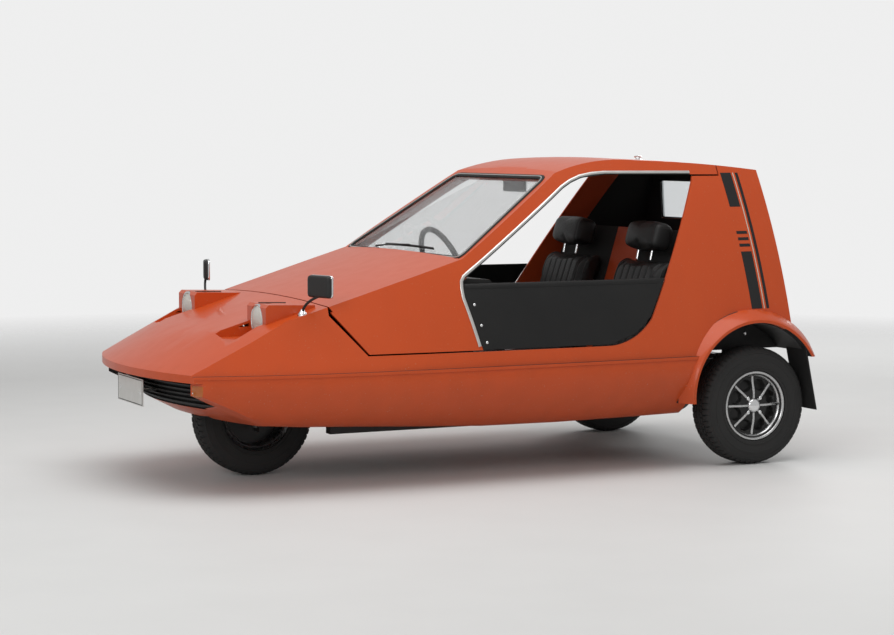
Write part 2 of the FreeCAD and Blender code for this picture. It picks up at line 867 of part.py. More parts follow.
# Canopy hinges: a pin in cheeks under the nose deck, and a gooseneck arm on the canopy.
NECK = ((0, 0), (62, -92), (125, -70), (128, 90))
NECK_HALF = 9
strips = []
for (ax, az), (bx, bz) in zip(NECK, NECK[1:]):
    run = math.atan2(bz - az, bx - ax)
    nx = -NECK_HALF * math.sin(run)
    nz = NECK_HALF * math.cos(run)
    corners = [(ax - nx, az - nz), (bx - nx, bz - nz), (bx + nx, bz + nz), (ax + nx, az + nz)]
    corners = [(f"HingeX + {cx}", f"HingeZ + {cz}") for cx, cz in corners]
    strips.append(across(corners, "HingeY - 5", "HingeY + 5"))
    strips.append(bar("y", f"HingeX + {ax}", "HingeY - 5", f"HingeZ + {az}", NECK_HALF, 10))
foot = block("HingeX + 117", "HingeX + 190", "HingeY - 16", "HingeY + 16", "HingeZ + 20", "HingeZ + 120")
foot = (foot & canopy_inner) - across(
    [
        ("HingeX + 60", "HingeZ + 8"),
        ("HingeX + 260", "HingeZ + 68"),
        ("HingeX + 260", 0),
        ("HingeX", 0),
    ]
)
neck = joined(*strips, foot) & canopy_inner
node("hinge_arms", (neck - bar("y", "HingeX", 100, "HingeZ", "HingePin + 0.05", 200)).both())
cheek = block("HingeX - 16", "HingeX + 16", "HingeY + 6", "HingeY + 12", "HingeZ - 12", "HingeZ + 60")
cheeks = joined(cheek, cheek.mirrored("HingeY")) & body_inner
hinge_pin = bar("y", "HingeX", "HingeY - 12", "HingeZ", "HingePin", 24)
node("hinge_brackets", ((cheeks + hinge_pin) - deck).both())

# Engine: one plain block on the chassis cross members.
engine_low = "ChannelZ - 40"
engine = block(
    "EngineX",
    "EngineX + EngineLength",
    "-EngineHalf",
    "EngineHalf",
    engine_low,
    f"{engine_low} + EngineHeight",
)
node("engine_block", engine)

# Chassis: two rails that rise over the rear axle, tied by cross members.
rail_start = "ChannelX + 3"
rail = across(
    [
        (rail_start, "ChannelZ - RailDepth"),
        (780, "ChannelZ - RailDepth"),
        (925, "RailRiseZ - RailDepth"),
        ("RailEndX", "RailRiseZ - RailDepth"),
        ("RailEndX", "RailRiseZ"),
        (900, "RailRiseZ"),
        (755, "ChannelZ"),
        (rail_start, "ChannelZ"),
    ],
    "RailIn",
    "RailOut",
)
MEMBERS = (
    # start, width, bottom, height
    ("EngineX + 45", 50, "ChannelZ - RailDepth", 20),
    ("EngineX + 375", 50, "ChannelZ - RailDepth", 20),
    (470, 50, "ChannelZ - RailDepth", "RailDepth"),
    ("RailEndX - 45", 45, "RailRiseZ - RailDepth", "RailDepth"),
)
members = []
for start, width, low, height in MEMBERS:
    members.append(block(start, f"{start} + {width}", "-RailIn", "RailIn", low, f"{low} + {height}"))
link_bar = cross_bar("LinkBarX", "LinkBarZ", "LinkY + 25", 15)
arm_pivot = cross_bar("ArmPivotX", "ArmPivotZ", "RailIn", 14)
frame = joined(rail, rail.mirrored(), *members, link_bar, arm_pivot)
chassis = node("chassis_frame", frame - hull - wheel_house)

# Rear axle: tube, final drive, drums, stub ends and trailing links.
casing = spun([(-78, 0), (-78, 42), (-34, 86), (34, 86), (78, 42), (78, 0)], "RearAxleX", AXLE_Z)
axle = joined(
    cross_bar("RearAxleX", AXLE_Z, DRUM_IN, "AxleRadius"),
    casing,
    bar("x", "RearAxleX - 200", 0, AXLE_Z, 38, 180),
    bar("x", "LinkBarX + 20", 0, AXLE_Z, 20, "RearAxleX - LinkBarX - 210"),
)
brake_drum = bar("y", "RearAxleX", DRUM_IN, AXLE_Z, "DrumRadius", "DrumWidth")
stub = bar("y", "RearAxleX", DRUM_OUT, AXLE_Z, "HubBore - 0.05", "DrumRoom + HubDepth + 4")
link = tube([("LinkBarX", "LinkY", "LinkBarZ"), ("RearAxleX", "LinkY", AXLE_Z)], "LinkRadius")
for piece in (brake_drum, stub, link):
    axle = joined(axle, piece, piece.mirrored())
axle = node("rear_axle", axle - frame)
spring = joined(
    bar("z", "RearAxleX", "SpringY", f"{AXLE_Z} + 60", 34, 150),
    bar("z", "RearAxleX", "SpringY", AXLE_Z, 14, 230),
    bar("z", "RearAxleX", "SpringY", f"{AXLE_Z} + 54", 44, 6),
)
spring = (spring & block(0, FAR, 0, 900, 0, "WaistZ")) - axle
node("rear_springs", spring.both())

# Front suspension: a leading arm that passes outside the wheel's sweep, lugs for the kingpin.
arm = tube(
    [
        (FRONT_X, "KingY - 42", AXLE_Z),
        (FRONT_X, "-ArmY", AXLE_Z),
        ("ArmPivotX", "-ArmY", "ArmPivotZ"),
    ],
    "ArmRadius",
)
lug_half = 14
lug_rear = "KingY - 50"
yoke = block(
    f"{FRONT_X} - {lug_half}",
    f"{FRONT_X} + {lug_half}",
    lug_rear,
    f"{lug_rear} + 20",
    f"{AXLE_Z} - KingHalf",
    f"{AXLE_Z} + KingHalf",
)
for low in (f"{AXLE_Z} - KingHalf", f"{AXLE_Z} + KingHalf - 12"):
    lug_front, lug_back = f"{FRONT_X} - {lug_half}", f"{FRONT_X} + {lug_half}"
    lug = block(lug_front, lug_back, lug_rear, "KingY", low, f"{low} + 12")
    yoke = joined(yoke, lug, bar("z", FRONT_X, "KingY", low, lug_half + 3, 12))
yoke = yoke - bar("z", FRONT_X, "KingY", f"{AXLE_Z} - 100", "KingRadius + 0.05", 200)
sleeve = bar("y", "ArmPivotX", "-ArmY - 20", "ArmPivotZ", 22, 40)
front_arm = node("front_arm", joined(arm, yoke, sleeve) - arm_pivot)
strut_x = f"{FRONT_X} + 60"
strut = bar("z", strut_x, "-ArmY", f"{AXLE_Z} + 40", 26, 190)
strut = strut + bar("z", strut_x, "-ArmY", f"{AXLE_Z} - 4", 9, 300)
node("front_spring", (strut & hollow) - front_arm)
knuckle = joined(
    bar("z", FRONT_X, "KingY", f"{AXLE_Z} - KingHalf + 14", 20, "2 * KingHalf - 28"),
    bar("z", FRONT_X, "KingY", f"{AXLE_Z} - KingHalf - 3", "KingRadius", "2 * KingHalf + 6"),
    bar("y", FRONT_X, "KingY", AXLE_Z, "HubBore - 0.05", "52 - KingY"),
    bar("y", FRONT_X, "KingY + 10", AXLE_Z, 40, 28),
)
node("front_knuckle", knuckle)

# Exhaust: down pipe, long pipe under the floor, cross silencer and tail pipe.
pipe = tube(
    [
        (-45, 120, f"{engine_low} - 0.1"),
        (-45, 120, "PipeZ"),
        (1165, 160, "PipeZ"),
        ("SilencerX", 195, "SilencerZ"),
    ],
    "PipeRadius",
    20,
)
tail_pipe = tube(
    [
        ("SilencerX", -190, "SilencerZ"),
        ("SilencerX + 52", -190, "SilencerZ - 6"),
        ("SilencerX + 98", -190, "SilencerZ - 24"),
    ],
    "PipeRadius",
    60,
)
silencer = cross_bar("SilencerX", "SilencerZ", "SilencerHalf", "SilencerRadius")
hanger = block(
    "SilencerX - 6",
    "SilencerX + 6",
    -100,
    -80,
    "SilencerZ + SilencerRadius - 7",
    "RailRiseZ - RailDepth",
)
node("exhaust", joined(pipe, silencer, tail_pipe, hanger) - chassis)

# Mouth: a slanted grille sheet with slats, and the front plate on two stays.
GRILLE_TOP = "LipLow - 0.5"
GRILLE_LOW = 319
grille_run = f"91 / ({GRILLE_TOP} - {GRILLE_LOW})"
grille_foot = "LipX + 164"
grille_head = "LipX + 73"


def round_nose(corners):
    return turned(outline(SIDE, corners), V(0, 0, 1), 180, x="LipX + LipRadius")


grille = round_nose(
    [
        (grille_head, GRILLE_TOP),
        (f"{grille_head} + 6", GRILLE_TOP),
        (f"{grille_foot} + 6", GRILLE_LOW),
        (grille_foot, GRILLE_LOW),
    ]
)
slats = []
for low in range(334, 434, 20):
    front = f"{grille_foot} - ({low} - {GRILLE_LOW}) * {grille_run}"
    slat = [(f"{front} + 3", low), (f"{front} - 16", low), (f"{front} - 16", low + 5), (front, low + 5)]
    slats.append(round_nose(slat))
grille_half = "MouthHalf - 0.5"
grille = joined(grille, *slats) & block(-FAR, -1000, f"-({grille_half})", grille_half, 300, GRILLE_TOP)
grille = node("nose_grille", grille - hull)
behind_grille = round_nose(
    [
        (grille_head, GRILLE_TOP),
        ("LipX + 400", GRILLE_TOP),
        ("LipX + 400", GRILLE_LOW),
        (grille_foot, GRILLE_LOW),
    ]
)
plate = block("PlateX", "PlateX + PlateThick", "-PlateHalf", "PlateHalf", "PlateLow", "PlateHigh")
stay = bar("x", "PlateX + PlateThick", 90, "PlateHigh - 45", 6, 92)
node("front_plate", joined(plate, stay, stay.mirrored()) - behind_grille - grille)


def tail_x(z):
    return f"TailLowX - {TAIL_LEAN} * ({z} - TailLowZ)"


# Rear plate on the lid, and round tail lamps in pairs.
lean = math.degrees(math.atan(worked(TAIL_LEAN)))
tail_turn = FreeCAD.Rotation(V(0, 1, 0), -lean)
plate_low = "-RearPlateHeight / 2 + 0.5"
plate_high = "RearPlateHeight / 2 + 0.5"
plate_sketch = outline(
    tail_turn * FRONT,
    [
        ("-RearPlateHalf", plate_low),
        ("RearPlateHalf", plate_low),
        ("RearPlateHalf", plate_high),
        ("-RearPlateHalf", plate_high),
    ],
    x=f"{tail_x('RearPlateZ')} + 0.58",
    z="RearPlateZ",
)
node("rear_plate", pushed(plate_sketch, tail_turn.multVec(V(1, 0, 0)), "PlateThick") - outer)
lamps = []
arch_behind = f"sqrt({ARCH_RADIUS} ^ 2 - (TailTopX + 34 - {ARCH_X}) ^ 2)"
for step in (0, "TailLampStep"):
    z = f"{ARCH_Z} + {arch_behind} + TailLampRadius + TailLampGap + {step}"
    base = bar("x", "TailLowX - 28", "TailLampY", z, "TailLampRadius", 36)
    lens = bar("x", "TailLowX + 8", "TailLampY", z, "TailLampRadius - 5", 10)
    lamp = (base + lens) - outer
    lamps += [lamp, lamp.mirrored()]
node("tail_lamps", apart(*lamps))

# Mud flaps hang behind the rear wheels, from the arch down.
flap = across([(1330, 500), (1337, 500), (1397, 217), (1391, 217)], "TrackHalf - 44", "TrackHalf + 100")
below_arch = bar("y", ARCH_X, 0, ARCH_Z, ARCH_RADIUS, 900) + block(1300, 1400, 500, 700, 200, 440)
node("mud_flaps", ((flap & below_arch) - rear - well).both())


def rounded_corners(half_wide, half_high, radius):
    """An upright rectangle about the sketch's origin, with rounded corners."""
    slack = radius * (1 - math.sqrt(0.5))
    corners = []
    for a, b, first in ((1, 1, 0), (-1, 1, 1), (-1, -1, 0), (1, -1, 1)):
        ends = [
            (a * half_wide, b * (half_high - radius)),
            (a * (half_wide - radius), b * half_high),
        ]
        through = (a * (half_wide - slack), b * (half_high - slack), "arc")
        corners += [ends[first], through, ends[1 - first]]
    return corners


# Door mirrors on stalks from the nose deck.
stalk = tube([(-846, 536, 672), (-842, 548, 708), (-822, 604, 762), (-816, 615, 788)], 6, 14)
base_disc = tube([(-846, 536, 672), (-846, 545, 684)], 17)
head_turn = FreeCAD.Rotation(V(0, 0, 1), -18)
head = outline(head_turn * FRONT, rounded_corners(65, 43, 16), -812, 625, 788)
head = pushed(head, head_turn.multVec(V(1, 0, 0)), 13, 13)
node("door_mirrors", (joined(stalk, base_disc, head) - outer).both())

# Cabin: footwell moulding with the engine cover.
def cover_form(wall):
    """The cover over the engine and the narrow tunnel between the seats, drawn in by a wall."""
    top = f"CoverTop - {wall}" if wall else "CoverTop"
    body = across(
        [
            (f"-550 + {wall}", 0 if wall else floor_in),
            (f"-550 + {wall}", top),
            (f"-10 - 0.6 * {wall}", top),
            (f"70 - 0.8 * {wall}", f"420 - {wall}"),
            (640, f"390 - {wall}"),
            (640, 0 if wall else floor_in),
        ],
        f"-CoverHalf + {wall}",
        f"CoverHalf - {wall}",
    )
    tunnel = block(f"70 - {wall}", 700, f"-TunnelHalf + {wall}", f"TunnelHalf - {wall}", 0, 700)
    wide = block(-600, f"70 - {wall}", f"-CoverHalf + {wall}", f"CoverHalf - {wall}", 0, 700)
    return body & (tunnel + wide)


cover_inside = cover_form("CoverWall")
toe = block(-556, -550, -800, 800, floor_in, 514) + block(-556, -550, -540, 540, 514, 600)
footwell = joined(cover_form(0) - cover_inside, toe & body_inner) - hull
past_seats = across(
    [
        (600, floor_in),
        ("BulkLowX", floor_in),
        ("BulkHighX", "BulkHighZ"),
        (FAR, "BulkHighZ"),
        (FAR, 0),
        (600, 0),
    ]
)
footwell = node("footwell_moulding", footwell - past_seats)

# Dashboard, steering column and steering wheel.
down_x = "cos(SteerRake)"
down_z = "sin(SteerRake)"


def along_column(distance):
    """A point on the steering column's axis, measured forward from the steering wheel."""
    return (f"SteerX - {distance} * {down_x}", "SteerY", f"SteerZ - {distance} * {down_z}")


dash = across([(-195, 702), (-60, 702), (-38, 724), (-38, 756), (-70, 792), (-195, 800)], -572, 572)
dash = dash + block(-150, -90, -110, 110, 640, 705)
node("dashboard", dash - tube([along_column(0), along_column(760)], "ColumnRadius"))
node("steering_column", tube([along_column(24), along_column(742)], "ColumnRadius"))
wheel_turn = FreeCAD.Rotation(V(0, 1, 0), 90 - worked("SteerRake"))
wheel_up = wheel_turn.multVec(V(0, 0, 1))
grip = doc.addObject("Part::Torus", "Grip")
bind(grip, Radius1="SteerRadius", Radius2="SteerGrip")
put(grip, "SteerX", "SteerY", "SteerZ", wheel_turn)
boss = doc.addObject("Part::Cylinder", "Boss")
bind(boss, Radius=30, Height=35.7)
put(boss, *along_column(23.7), wheel_turn)
spokes = []
for angle in (0, 110, 250):
    turn = wheel_turn * FreeCAD.Rotation(V(0, 0, 1), angle)
    reach = "SteerRadius - 8"
    spoke = outline(turn, [(0, -13), (reach, -13), (reach, 13), (0, 13)], "SteerX", "SteerY", "SteerZ")
    spokes.append(pushed(spoke, wheel_up, 2.5, 2.5))
node("steering_wheel", joined(Form(grip), Form(boss), *spokes))

# Seats, their bases and the head rests.
SEAT_SIDE = (
    (150, "SeatLow"),
    (128, "SeatLow + 30"),
    (128, 395),
    (165, 425),
    (560, 392),
    (612, 420),
    (755, 838),
    (800, 866),
    (850, 862),
    (664, "SeatLow"),
)
seat_right = node("seat_right", across(SEAT_SIDE, "SeatY - SeatHalf", "SeatY + SeatHalf"))
node("seat_left", across(SEAT_SIDE, "-SeatY - SeatHalf", "-SeatY + SeatHalf"))
base = block(170, 640, "SeatY - 200", "SeatY + 200", floor_in, "SeatLow - Fit")
node("seat_bases", base.both())
rest_turn = FreeCAD.Rotation(V(0, 1, 0), 14)
rest = outline(rest_turn * SIDE, rounded_corners(63, 70, 40), "RestX", "SeatY - 135", "RestZ")
rest = pushed(rest, V(0, 1, 0), 270) - seat_right
node("head_rests", rest.both())

# Gear lever with its knob, and hand brake.
GEAR_KNOB = ((0, 596), (12, 596), (20, 606), (20, 618), (13, 630), (0, 633))
gear_lever = tube([(92, 8, 417), (92, 10, 520), (60, 14, 612)], 6, 60) + stood(GEAR_KNOB, 60, 14)
hand_brake = tube([(360, 20, 402), (290, 22, 434), (210, 24, 500)], 8, 80)
levers = [lever - footwell - cover_inside for lever in (gear_lever, hand_brake)]
node("cabin_levers", apart(*levers))

# On the canopy: wiper, roof catch and inside mirror.
blade = on_screen([(58, -250), (66, -250), (66, 210), (58, 210)], -0.7, 10)
wiper_arm = on_screen([(30, 268), (40, 268), (70, -20), (62, -20)], 6, 12)
post = on_screen([(26, 258), (44, 258), (44, 278), (26, 278)], -0.7, 14)
node("wiper", joined(blade, wiper_arm, post))
ROOF_KNOB = ((0, 1235), (24, 1235), (24, 1250), (13, 1253), (15, 1264), (11, 1270), (0, 1270))
node("roof_catch", stood(ROOF_KNOB, "KnobX", 0) - outer)
glass = block(330, 342, -95, 95, 1120, 1168)
node("inside_mirror", (glass + tube([(338, 0, 1160), (352, 0, 1222)], 6)) & canopy_inner)

# Wheels: each tyre and each rim is turned from its profile, and the rim's windows are a pattern.
half = "TyreWidth / 2"
TYRE = (
    ("RimRadius", f"16 - {half}"),
    ("RimRadius", f"{half} - 16"),
    ("RimFlange + 2", f"{half} - 16.5"),
    ("RimFlange + 3", f"{half} - 6"),
    ("TyreRadius - 50", half),
    ("TyreRadius - 22", f"{half} - 4"),
    ("TyreRadius - 5", f"{half} - 20"),
    ("TyreRadius", f"{half} - 30"),
    ("TyreRadius", f"30 - {half}"),
    ("TyreRadius - 5", f"20 - {half}"),
    ("TyreRadius - 22", f"4 - {half}"),
    ("TyreRadius - 50", f"-{half}"),
    ("RimFlange + 3", f"6 - {half}"),
    ("RimFlange + 2", f"16.5 - {half}"),
)
RIM = (
    ("RimRadius", f"16 - {half}"),
    ("RimRadius", f"{half} - 16"),
    ("RimFlange", f"{half} - 15.5"),
    ("RimFlange", f"{half} - 10"),
    ("RimRadius - 6", f"{half} - 12"),
    ("RimRadius - RimWall", f"{half} - 24"),
    ("RimRadius - RimWall", 20),
    (60, 34),
    ("HubRadius", 30),
    ("HubRadius", "HubDepth"),
    ("HubBore", "HubDepth"),
    ("HubBore", 20),
    (50, 20),
    (60, 26),
    ("RimRadius - 16", 12),
    ("RimRadius - RimWall", f"20 - {half}"),
    ("RimRadius - 6", f"12 - {half}"),
    ("RimFlange", f"10 - {half}"),
    ("RimFlange", f"15.5 - {half}"),
)


def origin_plane(body, role):
    return next(item for item in body.Origin.OriginFeatures if item.Role == role)


def sketch_in(body, role, corners):
    sketch = body.newObject("Sketcher::SketchObject", "Profile")
    sketch.AttachmentSupport = (origin_plane(body, role), "")
    sketch.MapMode = "FlatFace"
    return draw(sketch, corners)


def wheel_piece(label, profile, x, y, spokes=0):
    """A turned piece of a wheel; the left ones are turned about to face outward."""
    body = doc.addObject("PartDesign::Body", label)
    sketch = sketch_in(body, "YZ_Plane", [(across_it, radius) for radius, across_it in profile])
    turning = body.newObject("PartDesign::Revolution", "Turned")
    turning.Profile = sketch
    turning.ReferenceAxis = (sketch, ["H_Axis"])
    turning.Angle = 360
    if spokes:
        corners = [(a, f"83 + {b}", *arc) for a, b, *arc in rounded_corners(12, 17, 6)]
        window = sketch_in(body, "XZ_Plane", corners)
        pocket = body.newObject("PartDesign::Pocket", "Window")
        pocket.Profile = window
        pocket.Type = "ThroughAll"
        pocket.Midplane = True
        pattern = body.newObject("PartDesign::PolarPattern", "Windows")
        pattern.Originals = [pocket]
        pattern.Axis = (window, ["N_Axis"])
        pattern.Angle = 360
        pattern.Occurrences = spokes
        body.Tip = pattern
    turn = FreeCAD.Rotation(V(0, 1, 0), 180 / spokes if spokes else 0)
    if worked(y) < 0:
        turn = FreeCAD.Rotation(V(0, 0, 1), 180) * turn
    return node(label, Form(put(body, x, y, AXLE_Z, turn)))


WHEELS = (
    # name, x, y
    ("front", FRONT_X, 0),
    ("rear_left", "RearAxleX", "-TrackHalf"),
    ("rear_right", "RearAxleX", "TrackHalf"),
)
for name, x, y in WHEELS:
    wheel_piece("tyre_" + name, TYRE, x, y)
    wheel_piece("rim_" + name, RIM, x, y, spokes=8)

doc.recompute()
for obj in doc.Objects:
    if "Invalid" in obj.State or "Error" in obj.State:
        raise SystemExit("failed: " + obj.Label)
os.makedirs("parts", exist_ok=True)
for obj in nodes:
    if obj.Shape.isNull() or not obj.Shape.isValid():
        raise SystemExit("bad shape: " + obj.Label)
    obj.Shape.exportStep("parts/%s.step" % obj.Label)
print(len(nodes), "nodes")
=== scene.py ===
# %% [markdown]
# # A three-wheeled microcar, dressed from its solids
# The car is a low wedge moulded in orange plastic: one steered wheel under the nose, two wheels
# behind, and a canopy that tips forward with windscreen, roof and side screens. Its solids are
# already modelled and packed. This lesson loads them as a fixed frame and then gives each piece
# the surface, the soft edges and the small fittings of the real car. X runs rearward, Y to the
# car's right and Z up, all in metres.

# %% Load the frame
import json
import math

import bmesh
import bpy
from mathutils import Matrix, Vector
from mathutils.bvhtree import BVHTree


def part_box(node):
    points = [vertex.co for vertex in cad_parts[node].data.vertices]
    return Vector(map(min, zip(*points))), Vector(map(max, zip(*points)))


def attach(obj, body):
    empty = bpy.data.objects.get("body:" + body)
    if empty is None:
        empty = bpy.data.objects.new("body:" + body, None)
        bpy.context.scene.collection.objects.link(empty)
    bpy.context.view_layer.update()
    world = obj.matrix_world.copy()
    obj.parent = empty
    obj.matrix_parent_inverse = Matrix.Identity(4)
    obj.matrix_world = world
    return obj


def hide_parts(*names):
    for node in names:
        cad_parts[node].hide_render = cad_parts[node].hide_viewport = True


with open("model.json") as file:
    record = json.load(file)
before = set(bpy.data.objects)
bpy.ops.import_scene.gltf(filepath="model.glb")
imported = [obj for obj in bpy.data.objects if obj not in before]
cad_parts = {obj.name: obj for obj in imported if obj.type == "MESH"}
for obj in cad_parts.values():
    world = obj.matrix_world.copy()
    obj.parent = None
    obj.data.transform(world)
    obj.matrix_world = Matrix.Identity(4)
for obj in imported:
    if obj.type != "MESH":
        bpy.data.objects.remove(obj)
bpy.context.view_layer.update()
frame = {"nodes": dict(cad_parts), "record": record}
nodes = frame["nodes"]
body_of = {
    node: body
    for body, names in frame["record"]["behaviour"]["bodies"].items()
    for node in names
}

# %% [markdown]
# ## Shader sums written as Python
# A node tree drawn by hand is slow to read. Here one small class wraps a socket and overloads
# the arithmetic signs, so `0.4 + 0.1 * grain` adds its own Math nodes. Every other node comes
# from a single method that sets the node's options first and then fills or links its sockets.


# %% Socket arithmetic and the finish class
class Signal:
    """A number that varies over a surface, with Python's own signs for sums."""

    def __init__(self, finish, socket):
        self.finish = finish
        self.socket = socket

    def sum(self, operation, a, b, clamp=False):
        settings = {"operation": operation, "use_clamp": clamp}
        return self.finish.node("ShaderNodeMath", settings, {0: a, 1: b})

    def __add__(self, other):
        return self.sum("ADD", self, other)

    def __sub__(self, other):
        return self.sum("SUBTRACT", self, other)

    def __rsub__(self, other):
        return self.sum("SUBTRACT", other, self)

    def __mul__(self, other):
        return self.sum("MULTIPLY", self, other)

    def __truediv__(self, other):
        return self.sum("DIVIDE", self, other)

    def __rtruediv__(self, other):
        return self.sum("DIVIDE", other, self)

    def __gt__(self, other):
        return self.sum("GREATER_THAN", self, other)

    def __lt__(self, other):
        return self.sum("LESS_THAN", self, other)

    __radd__ = __add__
    __rmul__ = __mul__

    def kept_in_unit(self):
        return self.sum("MULTIPLY", self, 1.0, clamp=True)


class Wiring:
    """A node tree with one closing node, whose sockets take numbers or signals."""

    def __init__(self, owner, closing):
        owner.use_nodes = True
        self.tree = owner.node_tree
        self.shader = self.tree.nodes[closing]

    def fill(self, socket, value):
        if isinstance(value, Signal):
            self.tree.links.new(value.socket, socket)
        else:
            socket.default_value = value

    def set(self, **sockets):
        for name, value in sockets.items():
            self.fill(self.shader.inputs[name.replace("_", " ")], value)
        return self

    def node(self, kind, settings=None, inputs=None, output=0):
        node = self.tree.nodes.new(kind)
        for name, value in (settings or {}).items():
            setattr(node, name, value)
        for key, value in (inputs or {}).items():
            self.fill(node.inputs[key], value)
        return Signal(self, node.outputs[output])


class Finish(Wiring):
    """One material: constants go straight onto its shader, signals are linked."""

    def __init__(self, name, slot, **constants):
        self.slot = slot
        self.material = bpy.data.materials.new(name)
        super().__init__(self.material, "Principled BSDF")
        self.set(**constants)

    def place(self):
        return self.node("ShaderNodeTexCoord", output="Object")

    def along(self, axis):
        return self.node("ShaderNodeSeparateXYZ", inputs={0: self.place()}, output=axis)

    def noise(self, scale, detail=3.0, stretch=None):
        where = self.place()
        if stretch:
            settings = {"operation": "MULTIPLY"}
            where = self.node("ShaderNodeVectorMath", settings, {0: where, 1: stretch})
        sockets = {"Vector": where, "Scale": scale, "Detail": detail}
        return self.node("ShaderNodeTexNoise", inputs=sockets, output="Fac")

    def pebbles(self, scale):
        sockets = {"Vector": self.place(), "Scale": scale}
        settings = {"feature": "DISTANCE_TO_EDGE"}
        return self.node("ShaderNodeTexVoronoi", settings, sockets, output="Distance")

    def blend(self, factor, a, b):
        settings = {"data_type": "RGBA"}
        return self.node("ShaderNodeMix", settings, {0: factor, 6: a, 7: b}, output=2)

    def bump(self, height, distance, strength=1.0):
        sockets = {"Height": height, "Distance": distance, "Strength": strength}
        return self.set(Normal=self.node("ShaderNodeBump", inputs=sockets, output="Normal"))


def rgb(red, green, blue):
    return (red, green, blue, 1.0)


print("signals and finishes are ready")

# %% [markdown]
# ## The orange gelcoat
# The body is laid up in a mould, so its colour goes all through and its gloss comes from the
# mould's face. It is glossy but a little wavy, faded where the sun falls, and low down it is
# dulled with road film and darkened with painted shade. Paint could be one colour under one
# gloss, but that reads as a toy. So a clear coat on the shader gives the hard highlight, a wide
# noise shifts the orange slightly, and the film is a mask that grows towards the ground: it
# dulls the gloss as road film and darkens the orange as painted shade.

# %% Gelcoat outside and inside
ORANGE = rgb(0.545, 0.062, 0.007)
ORANGE_FADED = rgb(0.590, 0.080, 0.013)
ORANGE_INSIDE = rgb(0.460, 0.058, 0.012)
# The dark brown that the orange turns low down is painted shade as well as road film.
ROAD_FILM_AND_SHADE = rgb(0.190, 0.050, 0.020)
BARE_RESIN = rgb(0.420, 0.300, 0.200)
# Height below which the orange darkens: painted shade and road film.
FILM_AND_SHADE_TOP = 0.50

gelcoat = Finish("orange_gelcoat", "orange_gelcoat", Coat_Roughness=0.08, Specular_IOR_Level=0.26)
fade = gelcoat.noise(2.2, 4.0)
# A mask that grows towards the ground: its darkening of the orange is painted shade, its dulling of the
# gloss and its extra chips are road film and wear.
film = (FILM_AND_SHADE_TOP - gelcoat.along("Z")) * 2.4 + 0.5 * gelcoat.noise(14.0, 6.0) - 0.30
film = film.kept_in_unit()
streaks = gelcoat.noise(16.0, 5.0, stretch=(1.0, 1.0, 0.10))
chips = (gelcoat.noise(170.0, 1.0) > 0.735) * (0.35 + film).kept_in_unit()
colour = gelcoat.blend(fade, ORANGE, ORANGE_FADED)
# Low down the orange darkens: painted shade together with road film.
colour = gelcoat.blend((film * 0.45 + 0.10 * streaks).kept_in_unit(), colour, ROAD_FILM_AND_SHADE)
gelcoat.set(
    Base_Color=gelcoat.blend(0.6 * chips, colour, BARE_RESIN),
    Roughness=0.30 + 0.28 * film + 0.10 * streaks,
    Coat_Weight=(0.26 - 0.22 * film).kept_in_unit(),
)
gelcoat.bump(gelcoat.noise(9.0, 2.0), 0.0016, 0.25)

liner = Finish("orange_inside", "orange_satin", Coat_Weight=0.1)
liner.set(
    Base_Color=liner.blend(liner.noise(30.0, 6.0), ORANGE_INSIDE, ORANGE),
    Roughness=0.45 + 0.2 * liner.noise(80.0),
)
liner.bump(liner.noise(180.0, 4.0), 0.0010, 0.6)
print("gelcoat:", len(gelcoat.tree.nodes), "nodes")

# %% [markdown]
# ## Black plastics, leathercloth and rubber
# Most of what isn't orange is black: grained plastic, leathercloth, rubber and chassis paint.
# They differ in grain and shine, not in colour. One function makes them all: dust lightens the
# shade in clouds, and the relief is either a plain grain or the pebbles of leathercloth.


# %% Plastics, leathercloth and rubber
def black(name, slot, shade, grain_scale, grain_depth, rough, pebbled=False):
    finish = Finish(name, slot, Specular_IOR_Level=0.30)
    grain = finish.pebbles(grain_scale) if pebbled else finish.noise(grain_scale, 5.0)
    dust = finish.noise(6.0, 6.0)
    clean = rgb(shade * 0.8, shade * 0.8, shade * 0.82)
    dusty = rgb(shade * 1.5, shade * 1.45, shade * 1.4)
    finish.set(Base_Color=finish.blend(dust, clean, dusty), Roughness=rough + 0.12 * dust)
    return finish.bump(grain, grain_depth, 0.7)


moulding = black("black_moulding", "black_moulding", 0.018, 420.0, 0.0008, 0.42)
dash_skin = black("dash_skin", "black_moulding", 0.016, 380.0, 0.0012, 0.40, pebbled=True)
screen_cloth = black("screen_leathercloth", "black_moulding", 0.007, 520.0, 0.0010, 0.34, pebbled=True)
seat_cloth = black("seat_leathercloth", "black_vinyl", 0.015, 300.0, 0.0016, 0.34, pebbled=True)
carpet = black("carpet", "black_moulding", 0.022, 900.0, 0.0040, 0.95)
rubber = black("rubber", "rubber", 0.014, 200.0, 0.0006, 0.62)
tyre_rubber = black("tyre_rubber", "tyre", 0.022, 260.0, 0.0010, 0.72)
chassis_paint = black("chassis_paint", "black_steel", 0.016, 130.0, 0.0012, 0.45)
stripe_film = black("stripe_film", "black_moulding", 0.012, 700.0, 0.0002, 0.30)
wheel_black = black("wheel_black", "black_steel", 0.012, 300.0, 0.0004, 0.32)
spring_paint = black("spring_paint", "black_steel", 0.030, 240.0, 0.0004, 0.36)
grip_cloth = black("grip_leathercloth", "black_vinyl", 0.016, 620.0, 0.0008, 0.42, pebbled=True)
piping_cloth = black("piping_cloth", "black_vinyl", 0.030, 500.0, 0.0005, 0.40)
webbing = black("belt_webbing", "black_vinyl", 0.050, 1100.0, 0.0010, 0.78)
dial_black = black("dial_black", "black_moulding", 0.006, 900.0, 0.0002, 0.50)
print(len(bpy.data.materials), "materials so far")

# %% [markdown]
# ## Bright metal and castings
# Chrome, alloy and steel are all fully metallic; what tells them apart is how dull and how
# patchy they are. A noise stretched along one axis gives the lines of a brush, and a second
# colour shows where the metal has tarnished or rusted.


